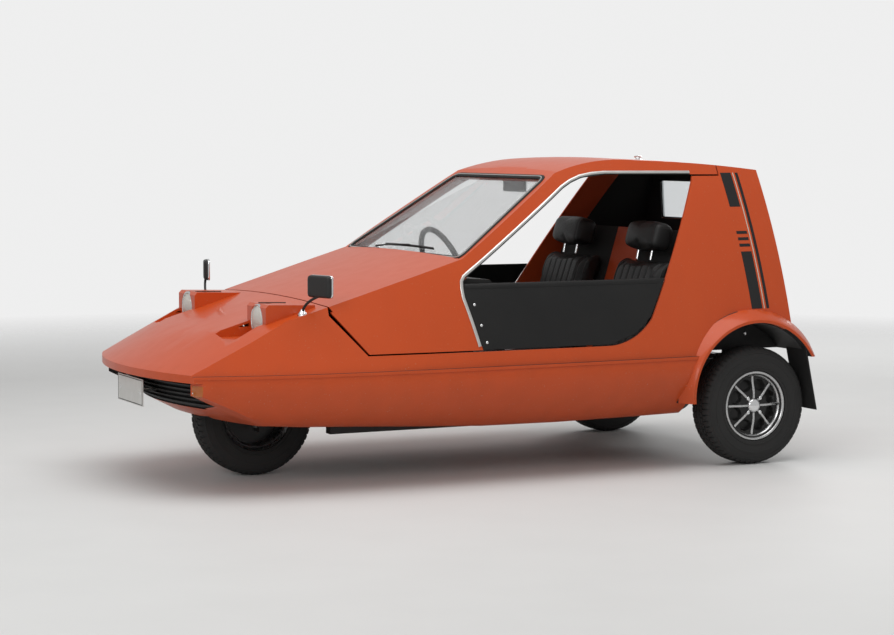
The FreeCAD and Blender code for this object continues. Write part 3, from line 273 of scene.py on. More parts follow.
# %% Bright metal and castings
def bright(name, slot, colour, rough, brushed=(1.0, 1.0, 1.0), patch=None):
    finish = Finish(name, slot, Metallic=1.0)
    lines = finish.noise(90.0, 3.0, stretch=brushed)
    dull = rgb(*(c * 0.72 for c in colour[:3]))
    finish.set(
        Base_Color=finish.blend(finish.noise(18.0, 6.0), colour, patch or dull),
        Roughness=rough + 0.16 * lines,
    )
    return finish.bump(lines, 0.0002, 0.4)


chrome = bright("chrome", "chrome", rgb(0.78, 0.79, 0.80), 0.03, patch=rgb(0.70, 0.70, 0.70))
alloy = bright("alloy", "alloy", rgb(0.62, 0.62, 0.62), 0.20, brushed=(1.0, 12.0, 1.0))
steel = bright("plated_steel", "steel", rgb(0.50, 0.49, 0.46), 0.28, patch=rgb(0.26, 0.20, 0.15))
silencer_steel = bright("rusted_steel", "steel", rgb(0.30, 0.26, 0.23), 0.48, patch=rgb(0.20, 0.09, 0.04))
casting = bright("casting", "cast", rgb(0.26, 0.25, 0.24), 0.55, patch=rgb(0.12, 0.11, 0.10))
silver_trim = bright("silver_trim", "alloy", rgb(0.74, 0.73, 0.70), 0.24, brushed=(8.0, 8.0, 1.0))
print("chrome, alloy, steel, rusted steel, casting and trim")

# %% [markdown]
# ## The cabin's lining
# Inside, the orange moulding is left bare near the openings and in a strip between the seats,
# and the rest is covered with black pile. The covered area could be a separate sheet, but it
# lies flush, so one finish holds both and a mask on the place decides which one shows.


# %% Linings that are part moulding, part pile
def lining(name, slot, near):
    """Black pile, except where the mask says that the orange moulding is left bare."""
    finish = Finish(name, slot, Specular_IOR_Level=0.30)
    grain = finish.noise(600.0, 6.0)
    bare = near(*(finish.along(axis) for axis in "XYZ"))
    pile = finish.blend(grain, rgb(0.014, 0.014, 0.014), rgb(0.030, 0.029, 0.028))
    finish.set(Base_Color=finish.blend(bare, pile, ORANGE_INSIDE), Roughness=0.92 - 0.42 * bare)
    return finish.bump(grain, 0.0020, 0.5)


EDGE_LEAN = 0.56
EDGE_X = 0.42
STRIP_HALF_SQUARED = 0.0125
quarter_lining = lining("quarter_lining", "orange_gelcoat", lambda x, y, z: (x - EDGE_LEAN * z) < EDGE_X)
bulkhead_lining = lining("bulkhead_lining", "orange_satin", lambda x, y, z: (y * y) < STRIP_HALF_SQUARED)
print("linings for the rear quarters and the bulkhead")

# %% [markdown]
# ## Glass, lenses and flat colours
# The panes let light through and only tint it; the lamp lenses are thick ribbed plastic or
# glass that glows with its own colour. The ribs are finer than a millimetre, so a sine wave in
# the bump makes them. Plates, dial marks, thread and tape are flat colours with a little cloud.


# %% Glass and lenses
def glazing(name, slot, colour, alpha, rough=0.02, ribs=None):
    finish = Finish(name, slot, Base_Color=colour, Roughness=rough, IOR=1.5, Alpha=alpha)
    finish.set(Transmission_Weight=1.0 if alpha < 1.0 else 0.35)
    if ribs:
        wave = finish.node("ShaderNodeMath", {"operation": "SINE"}, {0: finish.along("Y") * ribs})
        return finish.bump(wave + 0.3 * finish.noise(120.0), 0.0012, 0.8)
    return finish.set(Roughness=rough + 0.03 * finish.noise(5.0, 8.0))


pane = glazing("laminated_glass", "clear", rgb(0.80, 0.89, 0.93), 0.34)
lamp_lens = glazing("headlamp_lens", "lamp", rgb(0.95, 0.93, 0.86), 1.0, 0.06, ribs=900.0)
red_lens = glazing("red_lens", "red_lens", rgb(0.50, 0.012, 0.008), 1.0, 0.12, ribs=1400.0)
amber_lens = glazing("amber_lens", "amber_lens", rgb(0.80, 0.20, 0.012), 1.0, 0.12, ribs=1400.0)
reflector = bright("reflector", "chrome", rgb(0.84, 0.84, 0.80), 0.08)
print("one pane and three lenses")


# %% Flat colours
def plain(name, slot, colour, other, rough):
    """A painted or moulded colour with a little cloud and grain in it."""
    finish = Finish(name, slot)
    cloud = finish.noise(24.0, 6.0)
    finish.set(Base_Color=finish.blend(cloud, colour, other), Roughness=rough + 0.1 * cloud)
    return finish.bump(finish.noise(500.0), 0.0003, 0.4)


plate_white = Finish("plate_white", "plate_white", Roughness=0.38)
clouds = plate_white.noise(26.0, 6.0)
plate_white.set(Base_Color=plate_white.blend(clouds, rgb(0.66, 0.66, 0.64), rgb(0.56, 0.55, 0.52)))
plate_white.bump(plate_white.noise(320.0), 0.0004, 0.5)
pale_film = plain("pale_film", "plate_white", rgb(0.62, 0.58, 0.50), rgb(0.52, 0.48, 0.40), 0.35)
dial_white = plain("dial_white", "plate_white", rgb(0.74, 0.74, 0.70), rgb(0.66, 0.66, 0.62), 0.45)
thread_grey, thread_dark = rgb(0.050, 0.050, 0.052), rgb(0.030, 0.030, 0.030)
seat_thread = plain("seat_thread", "black_moulding", thread_grey, thread_dark, 0.60)
red_plastic = plain("red_plastic", "red_lens", rgb(0.46, 0.014, 0.010), rgb(0.36, 0.012, 0.010), 0.35)
mirror_glass = bright("mirror_glass", "chrome", rgb(0.82, 0.84, 0.85), 0.0, patch=rgb(0.80, 0.82, 0.83))
print(len(bpy.data.materials), "materials in all")

# %% [markdown]
# ## Building pieces in mesh code
# Ready-made blocks and cylinders would look like a toy's parts. So one gatherer collects faces
# for a piece, and knows how to make a form from a profile turned about an axis, a section
# swept along a path, an outline raised into a slab, a flat strip laid on a skin, or a film
# stuck over it. Each way returns the gatherer, so that a piece reads as one chain of calls.


# %% The gatherer
class Gather:
    SUNK = 0.0006
    FILM_SUNK = 0.0004

    def __init__(self):
        self.mesh = bmesh.new()

    def rows(self, rows, closed_rows=False, closed_across=True, capped=False):
        """Joins rows of points into a skin of four-sided faces."""
        made = [[self.mesh.verts.new(point) for point in row] for row in rows]
        for one, two in zip(made, made[1:] + made[:1] if closed_rows else made[1:]):
            count = len(one)
            for k in range(count if closed_across else count - 1):
                n = (k + 1) % count
                self.mesh.faces.new((one[k], one[n], two[n], two[k]))
        if capped:
            self.mesh.faces.new(list(reversed(made[0])))
            self.mesh.faces.new(made[-1])
        return self

    def turned(self, profile, centre=(0, 0, 0), axis="Y", steps=64):
        """Turns (radius, along) points about an axis."""
        rows = []
        for step in range(steps):
            angle = math.tau * step / steps
            row = []
            for radius, along in profile:
                c, s = radius * math.cos(angle), radius * math.sin(angle)
                point = {"X": (along, c, s), "Y": (s, along, c), "Z": (c, s, along)}[axis]
                row.append(Vector(point) + Vector(centre))
            rows.append(row)
        return self.rows(rows, closed_rows=True, closed_across=False)

    def swept(self, path, radius, sides=12, flat=1.0):
        """Sweeps a round or flattened section along an open path of points."""
        path = [Vector(p) for p in path]
        last = len(path) - 1
        rows = []
        across = None
        for k, point in enumerate(path):
            along = (path[min(k + 1, last)] - path[max(k - 1, 0)]).normalized()
            across = across or along.orthogonal().normalized()
            across = (across - along * across.dot(along)).normalized()
            other = along.cross(across)
            size = radius(k / last) if callable(radius) else radius
            row = []
            for side in range(sides):
                turn = math.tau * side / sides
                row.append(point + across * size * math.cos(turn) + other * size * flat * math.sin(turn))
            rows.append(row)
        return self.rows(rows, capped=True)

    def slab(self, outline, lift):
        """Raises a flat outline by a vector."""
        low = [self.mesh.verts.new(p) for p in outline]
        high = [self.mesh.verts.new(Vector(p) + Vector(lift)) for p in outline]
        self.mesh.faces.new(list(reversed(low)))
        self.mesh.faces.new(high)
        for k in range(len(low)):
            n = (k + 1) % len(low)
            self.mesh.faces.new((low[k], low[n], high[n], high[k]))
        return self

    def block(self, low, high):
        (x0, y0, z0), (x1, y1, z1) = low, high
        return self.slab([(x0, y0, z0), (x1, y0, z0), (x1, y1, z0), (x0, y1, z0)], (0, 0, z1 - z0))

    def ribbon(self, path, outward, width, thick, closed=False):
        """Lays a flat strip with chamfered edges along a path; outward is one way or one a point."""
        ways = [outward] * len(path) if isinstance(outward, Vector) else outward
        last = len(path) - 1
        low, chamfer = -self.SUNK, thick * 0.5
        half = ((-0.5, low), (-0.5, chamfer), (-0.38, thick))
        section = half + tuple((-across, lift) for across, lift in reversed(half))
        rows = []
        for k, point in enumerate(path):
            ahead = path[(k + 1) % len(path)] if closed or k < last else point
            behind = path[k - 1] if closed or k else point
            up = ways[k].normalized()
            side = (ahead - behind).cross(up).normalized()
            rows.append([point + side * width * across + up * lift for across, lift in section])
        return self.rows(rows, closed_rows=closed, capped=not closed)

    def film(self, rows, thick):
        """Sticks a thin closed film over a grid of (point, normal) pairs."""
        layers = []
        for lift in (-self.FILM_SUNK, thick):
            layers.append([[self.mesh.verts.new(p + n * lift) for p, n in row] for row in rows])
        low, high = layers
        tall, wide = len(rows), len(rows[0])
        for layer in layers:
            for one, two in zip(layer, layer[1:]):
                for k in range(wide - 1):
                    self.mesh.faces.new((one[k], one[k + 1], two[k + 1], two[k]))
        rim = [(0, k) for k in range(wide)] + [(j, wide - 1) for j in range(1, tall)]
        rim += [(tall - 1, k) for k in range(wide - 2, -1, -1)] + [(j, 0) for j in range(tall - 2, 0, -1)]
        for (j, k), (m, n) in zip(rim, rim[1:] + rim[:1]):
            self.mesh.faces.new((low[j][k], low[m][n], high[m][n], high[j][k]))
        return self

    def moved(self, matrix):
        bmesh.ops.transform(self.mesh, matrix=matrix, verts=self.mesh.verts)
        return self

    def data(self, name):
        bmesh.ops.recalc_face_normals(self.mesh, faces=self.mesh.faces)
        data = bpy.data.meshes.new(name)
        self.mesh.to_mesh(data)
        self.mesh.free()
        return data

    def piece(self, name, finish, body, **looks):
        """Welds the faces and makes the piece; looks are passed on to settle."""
        bmesh.ops.remove_doubles(self.mesh, verts=self.mesh.verts, dist=1e-6)
        return settle(name, self.data(name), finish, body, **looks)


print("the gatherer turns, sweeps, raises and lays forms")

# %% [markdown]
# ## From a mesh to a piece
# Nothing on a real car has a knife edge, and a sharp edge catches no light. A piece can get a
# small bevel where its faces meet at an angle, and weighted normals, so that the flat faces
# beside a bevel stay flat in the shading. Then it takes its finish and rides on its body.

# %% Eased edges, finish and body
BEVEL_ANGLE = math.radians(32)


def linked(name, data):
    """A new object that shows the data, in the scene."""
    made = bpy.data.objects.new(name, data)
    bpy.context.collection.objects.link(made)
    return made


def apply_modifiers(holder):
    """Gives an object the mesh that its modifiers make, and clears them."""
    shape = holder.evaluated_get(bpy.context.evaluated_depsgraph_get())
    shape = bpy.data.meshes.new_from_object(shape)
    holder.modifiers.clear()
    holder.data = shape
    return shape


def settle(name, data, finish, body, ease=0.0, segments=2, smooth=35.0, stands_for=()):
    """Makes an object of a mesh: eased edges, smooth shading, finish and body."""
    made = linked(name, data)
    data.materials.append(finish.material)
    if ease:
        bevel = made.modifiers.new("eased", "BEVEL")
        bevel.width = ease
        bevel.segments = segments
        bevel.limit_method = "ANGLE"
        bevel.angle_limit = BEVEL_ANGLE
        apply_modifiers(made)
    made.data.shade_smooth()
    made.data.set_sharp_from_angle(angle=math.radians(smooth))
    if ease:
        level = made.modifiers.new("flat faces stay flat", "WEIGHTED_NORMAL")
        level.mode = "FACE_AREA"
        level.keep_sharp = True
        apply_modifiers(made)
    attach(made, body)
    if stands_for:
        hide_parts(*stands_for)
    return made


print("pieces can be settled")

# %% [markdown]
# ## The moulded panels
# The solids have the right form, but resin needs a few millimetres of radius to fill a mould.
# Drawing the panels again would risk gaps, so each is rebuilt from its solid's own faces:
# welded, flat areas joined up, edges eased. Faces that look at the cabin's middle may take a
# second finish, because the inside of a panel isn't polished.

# %% Rebuild the panels with eased edges
WELD = 2e-5
FLAT = math.radians(0.2)
CABIN_MIDDLE = Vector((0.2, 0, 0.75))
INWARD = 0.25


def faces_of(node):
    shape = bmesh.new()
    shape.from_mesh(nodes[node].data)
    bmesh.ops.remove_doubles(shape, verts=shape.verts, dist=WELD)
    bmesh.ops.dissolve_limit(shape, angle_limit=FLAT, verts=shape.verts, edges=shape.edges)
    clean = bpy.data.meshes.new(node + "_faces")
    points = [v.co.copy() for v in shape.verts]
    shape.verts.index_update()
    clean.from_pydata(points, [], [[v.index for v in f.verts] for f in shape.faces])
    shape.free()
    return clean


def second_finish(made, finish, wanted):
    """Gives the faces that are wanted a second finish."""
    made.data.materials.append(finish.material)
    for face in made.data.polygons:
        if wanted(face):
            face.material_index = 1


def looks_inward(face):
    return face.normal.dot((CABIN_MIDDLE - face.center).normalized()) > INWARD


def dressed(node, finish, ease, inside=None, smooth=35.0):
    """Stands for a solid with the same faces, eased; inward faces may take a second finish."""
    data = faces_of(node)
    made = settle(node + "_dressed", data, finish, body_of[node], ease, smooth=smooth, stands_for=(node,))
    if inside:
        second_finish(made, inside, looks_inward)
    print(node, len(made.data.polygons), "faces")
    return made


PANELS = (
    # node, outside finish, edge radius, inside finish
    ("hull", gelcoat, 0.0022, carpet),
    ("nose_deck", gelcoat, 0.0025, None),
    ("rear_body", gelcoat, 0.0025, quarter_lining),
    ("canopy_shell", gelcoat, 0.0030, liner),
    ("boot_lid", gelcoat, 0.0025, moulding),
    ("side_screen_left", screen_cloth, 0.0025, screen_cloth),
    ("side_screen_right", screen_cloth, 0.0025, screen_cloth),
)
for row in PANELS:
    dressed(*row)

# %% [markdown]
# ## Touching a solid
# Trim, film and fittings lie on the moulded skins, and a place typed by hand would float or sink.
# A tree of a solid's faces answers one question quickly: where does a ray meet this skin, and
# which way does it face there? Everything stuck to the body is placed by that answer.

# %% Rays onto skins
SKINS = {}
CLEAR_SIDE = 1.2
CLEAR_END = 2.0
LEFT = -1
RIGHT = 1
SIDES = {"left": LEFT, "right": RIGHT}


def skin_of(name, data):
    points = [v.co for v in data.vertices]
    SKINS[name] = BVHTree.FromPolygons(points, [f.vertices for f in data.polygons])
    return SKINS[name]


def landed(node, start, ray):
    """The point where a ray meets a skin, and the skin's outward direction there."""
    skin = SKINS.get(node) or skin_of(node, nodes[node].data)
    point, normal, _, _ = skin.ray_cast(Vector(start), Vector(ray))
    if point is None:
        return None, None
    return point, normal if normal.dot(Vector(ray)) < 0 else -normal


def from_side(node, x, z, side):
    return landed(node, (x, side * CLEAR_SIDE, z), (0, -side, 0))


def from_above(node, x, y):
    return landed(node, (x, y, CLEAR_SIDE), (0, 0, -1))


def from_end(node, y, z, end=1):
    """From behind the car, or from ahead of it where end is -1."""
    return landed(node, (end * CLEAR_END, y, z), (-end, 0, 0))


def flipped(profile, side):
    """A (radius, along) profile, turned to face the other way on one side."""
    return [(radius, along * side) for radius, along in profile]


print("skins answer rays from the sides, above and both ends")

# %% [markdown]
# ## Even spacing and round corners
# A strip bends well only if its points are evenly spaced, and a pressed or cut outline has round
# corners. Both could be typed as long lists of points. A few corners and some short functions
# say the same, and the corner radius stays one number.


# %% Spacing and rounding
def spaced(points, gap, closed=False):
    """Puts points on a polyline at an even gap, and keeps its corners."""
    points = [Vector(p) for p in points]
    ends = points + points[:1] if closed else points
    out = []
    for one, two in zip(ends, ends[1:]):
        count = max(1, round((two - one).length / gap))
        out += [one.lerp(two, k / count) for k in range(count)]
    return out if closed else out + [points[-1]]


def bent(start, bend, end, steps=6):
    """Points of a curve that leaves one place and reaches another round a bend."""
    shares = [k / steps for k in range(steps + 1)]
    return [start.lerp(bend, t).lerp(bend.lerp(end, t), t) for t in shares]


def rounded(corners, radius):
    """Rounds a closed outline's corners."""
    corners = [Vector(c) for c in corners]
    out = []
    for k, corner in enumerate(corners):
        before = (corners[k - 1] - corner).normalized()
        after = (corners[(k + 1) % len(corners)] - corner).normalized()
        out += bent(corner + before * radius, corner, corner + after * radius)
    return out


def oblong(x, half_wide, low, high):
    """The corners of an upright rectangle across the car."""
    return [(x, -half_wide, low), (x, half_wide, low), (x, half_wide, high), (x, -half_wide, high)]


def middle(node):
    low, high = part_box(node)
    return (Vector(low) + Vector(high)) / 2


print("outlines can be spaced and rounded")

# %% [markdown]
# ## Tyres
# Each wheel wears a fat cross-ply tyre, a surface of revolution apart from its tread. A bump
# would leave the outline smooth. So the profile itself is lowered at each pitch, and sharp
# steps are kept by giving every block its own columns of faces.

# %% Tyres with cut tread
BLOCKS = 60
BLOCK_STEPS = (0.0, 0.20, 0.26, 0.50, 0.70, 0.76)
GROOVE_FROM = 0.73
PAST_THE_EDGE = 1e-4
OUTER_ROW = 0.0262
MIDDLE_RIB = 0.0117
SHOULDER = 0.2300
CROWN = 0.2400
TYRE_HALF = [
    (0.127, 0.0520), (0.1450, 0.0515), (0.1460, 0.0600), (0.1500, 0.0622), (0.1555, 0.0632),
    (0.1572, 0.0660), (0.1612, 0.0664), (0.1630, 0.0642), (0.1750, 0.0660), (0.1900, 0.0666),
    (0.1908, 0.0678), (0.1960, 0.0679), (0.1968, 0.0664), (0.2080, 0.0656), (0.2170, 0.0634),
    (0.2182, 0.0655), (0.2225, 0.0648), (0.2240, 0.0622),
    (0.2330, 0.0570), (0.2385, 0.0490), (0.2415, 0.0385), (0.2420, 0.0300), (0.2370, 0.0297),
    (0.2370, 0.0263), (0.2424, 0.0260), (0.2428, 0.0120), (0.2375, 0.0117), (0.2375, 0.0083),
    (0.2430, 0.0080),
]
tyre_profile = TYRE_HALF + flipped(reversed(TYRE_HALF), -1) + TYRE_HALF[:1]
WHEELS = (
    # node ending, side its dish faces
    ("front", RIGHT),
    ("rear_left", LEFT),
    ("rear_right", RIGHT),
)


def tread(radius, along, angle):
    """Cuts cross grooves: long ones over the shoulders, short ones near the middle."""
    across = abs(along)
    outer = across > OUTER_ROW
    place = angle / math.tau * BLOCKS + (0.0 if outer else 0.5)
    if place % 1.0 <= GROOVE_FROM:
        return radius
    if outer and radius > SHOULDER:
        return radius - 0.0052 * min(1.0, (radius - SHOULDER) / 0.006)
    if not outer and across > MIDDLE_RIB and radius > CROWN:
        return radius - 0.0045
    return radius


def wheel_point(centre, radius, angle, along=0.0):
    """A place on a wheel: the angle starts at the top, along is how far to the car's right."""
    return centre + Vector((radius * math.sin(angle), along, radius * math.cos(angle)))


for ending, side in WHEELS:
    node = "tyre_" + ending
    centre = middle(node)
    rows = []
    for step in range(BLOCKS * len(BLOCK_STEPS)):
        block, place = divmod(step, len(BLOCK_STEPS))
        angle = (block + BLOCK_STEPS[place]) / BLOCKS * math.tau
        cut = [(tread(r, along, angle + PAST_THE_EDGE), along) for r, along in tyre_profile]
        rows.append([wheel_point(centre, r, angle, along) for r, along in cut])
    skin = Gather().rows(rows, closed_rows=True, closed_across=False)
    made = skin.piece(node + "_treaded", tyre_rubber, body_of[node], smooth=28, stands_for=(node,))
print("each tyre:", len(made.data.polygons), "faces")

# %% [markdown]
# ## Rims
# The steel rim has a bright outer ring, a black pressed centre with oval hollows, eight slim
# silver spokes and a chrome cap. Cutting the hollows from a solid would leave ragged edges. A
# grid of points about the axle that sinks softly inside each oval gives the same pressing.

# %% Rims, spokes, caps and nuts
RIM_PROFILE = (
    (0.1270, 0.0500), (0.1400, 0.0522), (0.1428, 0.0535), (0.1430, 0.0562), (0.1412, 0.0578),
    (0.1380, 0.0580), (0.1345, 0.0566), (0.1315, 0.0520), (0.1300, 0.0440), (0.1240, 0.0405),
    (0.1200, 0.0320), (0.1200, -0.0330), (0.1240, -0.0440), (0.1320, -0.0520), (0.1412, -0.0578),
    (0.1430, -0.0555), (0.1400, -0.0525), (0.1270, -0.0500), (0.1270, 0.0500),
)
CAP = (
    (0.0001, 0.0590), (0.0090, 0.0586), (0.0180, 0.0568), (0.0250, 0.0532), (0.0290, 0.0480),
    (0.0300, 0.0400), (0.0001, 0.0400),
)
NUT = ((0.0001, 0.0530), (0.0050, 0.0525), (0.0080, 0.0500), (0.0080, 0.0420), (0.0001, 0.0420))
NUTS = 4
NUT_CIRCLE = 0.0415
SPOKES = 8
SPOKE_RADII = (0.030, 0.052, 0.066, 0.080, 0.094, 0.108, 0.1206)
HUB = 0.020
HUB_FACE = 0.0430
DISC_STEPS = 192
DISC_RADII = [HUB + 0.1005 * k / 29 for k in range(30)]
DISC_BACK = [(0.1205, 0.010), (HUB, 0.010)]


def soft_step(t):
    return t * t * (3 - 2 * t)


def dish(radius):
    """How far out the wheel's centre stands at a radius."""
    return HUB_FACE - 0.0120 * soft_step(max(0.0, min(1.0, (radius - 0.052) / 0.060)))


def hollow(radius, angle):
    """Eight oval hollows between the spokes, 0 to 1 deep."""
    turn = (angle / math.tau * SPOKES + 0.5) % 1.0 - 0.5
    across = turn / SPOKES * math.tau * radius / 0.0265
    outward = (radius - 0.0890) / 0.0215
    return soft_step(max(0.0, min(1.0, (1.12 - math.hypot(across, outward)) / 0.22)))


for ending, side in WHEELS:
    node = "rim_" + ending
    body = body_of[node]
    centre = middle("tyre_" + ending)
    ring = Gather().turned(flipped(RIM_PROFILE, side), centre, steps=96)
    ring.piece(node + "_ring", alloy, body, smooth=40, stands_for=(node,))
    rows = []
    for step in range(DISC_STEPS):
        angle = math.tau * step / DISC_STEPS
        between = angle + math.pi / SPOKES
        pressing = [(r, dish(r) - 0.020 * hollow(r, between)) for r in DISC_RADII] + DISC_BACK
        rows.append([wheel_point(centre, r, angle, out * side) for r, out in pressing])
    Gather().rows(rows, closed_rows=True).piece(node + "_centre", wheel_black, body, smooth=50)
    bars = Gather()
    for k in range(SPOKES):
        path = [wheel_point(centre, r, math.tau * k / SPOKES, side * dish(r)) for r in SPOKE_RADII]
        bars.ribbon(path, Vector((0, side, 0)), width=0.0098, thick=0.0036)
    bars.piece(node + "_spokes", alloy, body, ease=0.0006, smooth=30)
    shine = Gather().turned(flipped(CAP, side), centre, steps=48)
    for k in range(NUTS):
        at = wheel_point(centre, NUT_CIRCLE, math.tau * (k + 0.5) / NUTS)
        shine.turned(flipped(NUT, side), at, steps=6)
    shine.piece(node + "_cap_and_nuts", chrome, body, smooth=40)
    valve = [centre + Vector((x, side * out, 0)) for x, out in ((0.118, 0.030), (0.114, 0.052))]
    Gather().swept(valve, radius=0.0035, sides=10).piece(node + "_valve", rubber, body)
print("three rims with", SPOKES, "spokes each")

# %% [markdown]
# ## Windscreen rubber
# The flat screen is held in a black rubber section with a thin bright insert. Both are flat
# sections laid round the screen's edge, so both are ribbons in the plane of the glass. A ray
# onto the glass tells how far it lies above the screen's own plane.

# %% Screen rubber
SCREEN_AT = Vector((-0.210, 0.0, 0.863))
SCREEN_SLOPE = math.atan(0.688)
UP_SCREEN = Vector((math.cos(SCREEN_SLOPE), 0.0, math.sin(SCREEN_SLOPE)))
OUT_OF_SCREEN = Vector((-math.sin(SCREEN_SLOPE), 0.0, math.cos(SCREEN_SLOPE)))
above_glass = SCREEN_AT + UP_SCREEN * 0.3 + OUT_OF_SCREEN * 0.3
glass_point, _ = landed("windscreen", above_glass, -OUT_OF_SCREEN)
GLASS_LIFT = (glass_point - SCREEN_AT).dot(OUT_OF_SCREEN)


def on_screen(u, y, lift=0.0):
    """A place on the windscreen: u up its slope, y across, lift out of the glass."""
    return SCREEN_AT + UP_SCREEN * u + Vector((0, y, 0)) + OUT_OF_SCREEN * (GLASS_LIFT + lift)


SCREEN_CORNERS = ((0.022, -0.548), (0.022, 0.548), (0.572, 0.408), (0.572, -0.408))
around = rounded([on_screen(u, y) for u, y in SCREEN_CORNERS], radius=0.045)
around = spaced(around, gap=0.03, closed=True)
for name, finish, width, thick in (
    ("windscreen_rubber", rubber, 0.026, 0.0055),
    ("windscreen_bright_insert", silver_trim, 0.006, 0.0072),
):
    strip = Gather().ribbon(around, OUT_OF_SCREEN, width, thick, closed=True)
    strip.piece(name, finish, "canopy", smooth=50)
print("screen rubber: %d points, glass %.1f mm above its plane" % (len(around), GLASS_LIFT * 1000))

# %% [markdown]
# ## Strips round the side openings
# A pale metal strip edges the opening, runs up the pillar and on under the roof as a drip rail,
# with a rubber lip inside it; its pale metal is in part a painted highlight, the light caught
# on the opening's edge. The path is given as points of the side view and moved out from the
# edge; the skin gives its third coordinate and its slope.

# %% Bright strip and rubber lip
OPENING = (
    (-0.148, 0.522), (-0.178, 0.642), (-0.201, 0.729), (-0.203, 0.760), (-0.201, 0.788),
    (-0.190, 0.804), (-0.173, 0.816), (0.306, 1.143), (0.350, 1.166), (0.400, 1.184),
    (0.458, 1.194), (0.520, 1.198), (0.930, 1.196),
)
NEAR_SIDE = 0.36
OPENING_TRIM = (
    # name, finish, distance from the edge, width, thickness
    # The strip's pale metal is in part a painted highlight: it stands for the light caught on the
    # opening's edge.
    ("opening_highlight_strip_", silver_trim, 0.008, 0.013, 0.0035),
    ("opening_rubber_", rubber, 0.0015, 0.006, 0.0022),
)


def beside_opening(away):
    """Points of the side view at a distance outside the opening's front and upper edge."""
    flat = spaced([(x, 0, z) for x, z in OPENING], gap=0.022)
    out = []
    for k, point in enumerate(flat):
        along = (flat[min(k + 1, len(flat) - 1)] - flat[max(k - 1, 0)]).normalized()
        out.append(point + Vector((-along.z, 0, along.x)) * away)
    return out


def met(answers, wanted=lambda point: True):
    """Keeps the rays that met a skin where it is wanted: their points and the ways out."""
    kept = [(point, way) for point, way in answers if point is not None and wanted(point)]
    return [point for point, way in kept], [way for point, way in kept]


def laid(node, flat, side):
    """Drops points of the side view onto a skin from outside; keeps those on its near side."""
    answers = [from_side(node, point.x, point.z, side) for point in flat]
    return met(answers, lambda point: abs(point.y) > NEAR_SIDE)


for name, side in SIDES.items():
    for label, finish, away, width, thick in OPENING_TRIM:
        path, ways = laid("canopy_shell", beside_opening(away), side)
        Gather().ribbon(path, ways, width, thick).piece(label + name, finish, "canopy", smooth=50)
    print(name, "strip and lip:", len(path), "points each")

# %% [markdown]
# ## Side screens
# The screens are leathercloth stretched over a frame and studded to the pillar. The hem is a
# ribbon along the upper edge, with each stitch a tiny strip of its own, because thread stands
# proud of the cloth. The studs are small domes turned where a ray meets the cloth.

# %% Hem, stitches and studs of the side screens
HEM_Z = 0.769
HEM_INSET = 0.004
STITCHES = (0.1, 0.35, 0.6, 0.85)
STITCH_HALF = 0.0026
STITCH_LIFT = 0.0006
BELOW_HEM = Vector((0, 0, -0.012))
STUDS = ((-0.166, 0.700), (-0.146, 0.620), (-0.129, 0.554))
STUD = ((0.0001, 0.0034), (0.0030, 0.0031), (0.0056, 0.0018), (0.0062, 0.0), (0.0001, -0.0005))
for name, side in SIDES.items():
    node = "side_screen_" + name
    low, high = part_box(node)
    ends = [(low[0] + HEM_INSET, 0, HEM_Z), (high[0] - HEM_INSET, 0, HEM_Z)]
    path, ways = laid(node, spaced(ends, gap=0.03), side)
    hem = Gather().ribbon(path, ways, width=0.018, thick=0.0016)
    hem.piece(node + "_hem", screen_cloth, "canopy", smooth=50)
    stitches = Gather()
    for one, two, out in zip(path, path[1:], ways):
        for share in STITCHES:
            at = one.lerp(two, share) + BELOW_HEM + out * STITCH_LIFT
            along = (two - one).normalized() * STITCH_HALF
            stitches.ribbon([at - along, at + along], out, width=0.0012, thick=0.0010)
    stitches.piece(node + "_stitches", seat_thread, "canopy")
    studs = Gather()
    for at in met([from_side(node, x, z, side) for x, z in STUDS])[0]:
        studs.turned(flipped(STUD, side), at, steps=20)
    studs.piece(node + "_studs", chrome, "canopy", smooth=60)
    print(node, "is hemmed over", len(path), "points")

# %% [markdown]
# ## Tape stripes on the rear quarters
# The car wears black tape on each quarter: a broad band broken by a bare stretch, a hairline
# and a narrow band beside it. Tape follows the skin, so a grid of rays drops it there, and the
# film gets a real thickness of under a millimetre so that its edge catches the light.

# %% Stripes
TAPES = (
    # name, x from, x to, z from, z to, finish
    ("broad_low", 1.120, 1.173, 0.642, 0.876, stripe_film),
    ("bar_low", 1.120, 1.173, 0.896, 0.908, stripe_film),
    ("bar_middle", 1.120, 1.173, 0.922, 0.934, stripe_film),
    ("bar_high", 1.120, 1.173, 0.948, 0.960, stripe_film),
    ("broad_high", 1.120, 1.173, 1.060, 1.200, stripe_film),
    ("hairline", 1.1815, 1.1855, 0.642, 1.200, pale_film),
    ("narrow", 1.194, 1.208, 0.642, 1.200, stripe_film),
)
TAPE_LEAN = -0.062
LEAN_FROM_Z = 0.622
TAPE_THICK = 0.0007
TAPE_FROM_Y = 0.38
GRID_ACROSS = 0.014
GRID_UP = 0.016
for name, side in SIDES.items():
    for label, x0, x1, z0, z1, finish in TAPES:
        wide = max(2, round((x1 - x0) / GRID_ACROSS) + 1)
        tall = max(2, round((z1 - z0) / GRID_UP) + 1)
        rows = []
        for j in range(tall):
            z = z0 + (z1 - z0) * j / (tall - 1)
            first = x0 + TAPE_LEAN * (z - LEAN_FROM_Z)
            step = (x1 - x0) / (wide - 1)
            row = [from_side("rear_body", first + step * k, z, side) for k in range(wide)]
            if all(hit is not None and abs(hit.y) > TAPE_FROM_Y for hit, _ in row):
                rows.append(row)
        if len(rows) > 1:
            tape = Gather().film(rows, TAPE_THICK)
            tape.piece("tape_%s_%s" % (label, name), finish, "body", smooth=60)
print(len(TAPES), "tapes on each quarter")

# %% [markdown]
# ## Headlamps
# A headlamp is a chrome rim, a bowl of a reflector and a domed glass moulded with upright
# flutes. All are turned about the lamp's axis; the flutes are bump in the glass, because they
# are finer than a millimetre, and the rim's step is real. A rubber strip runs beside each pod.

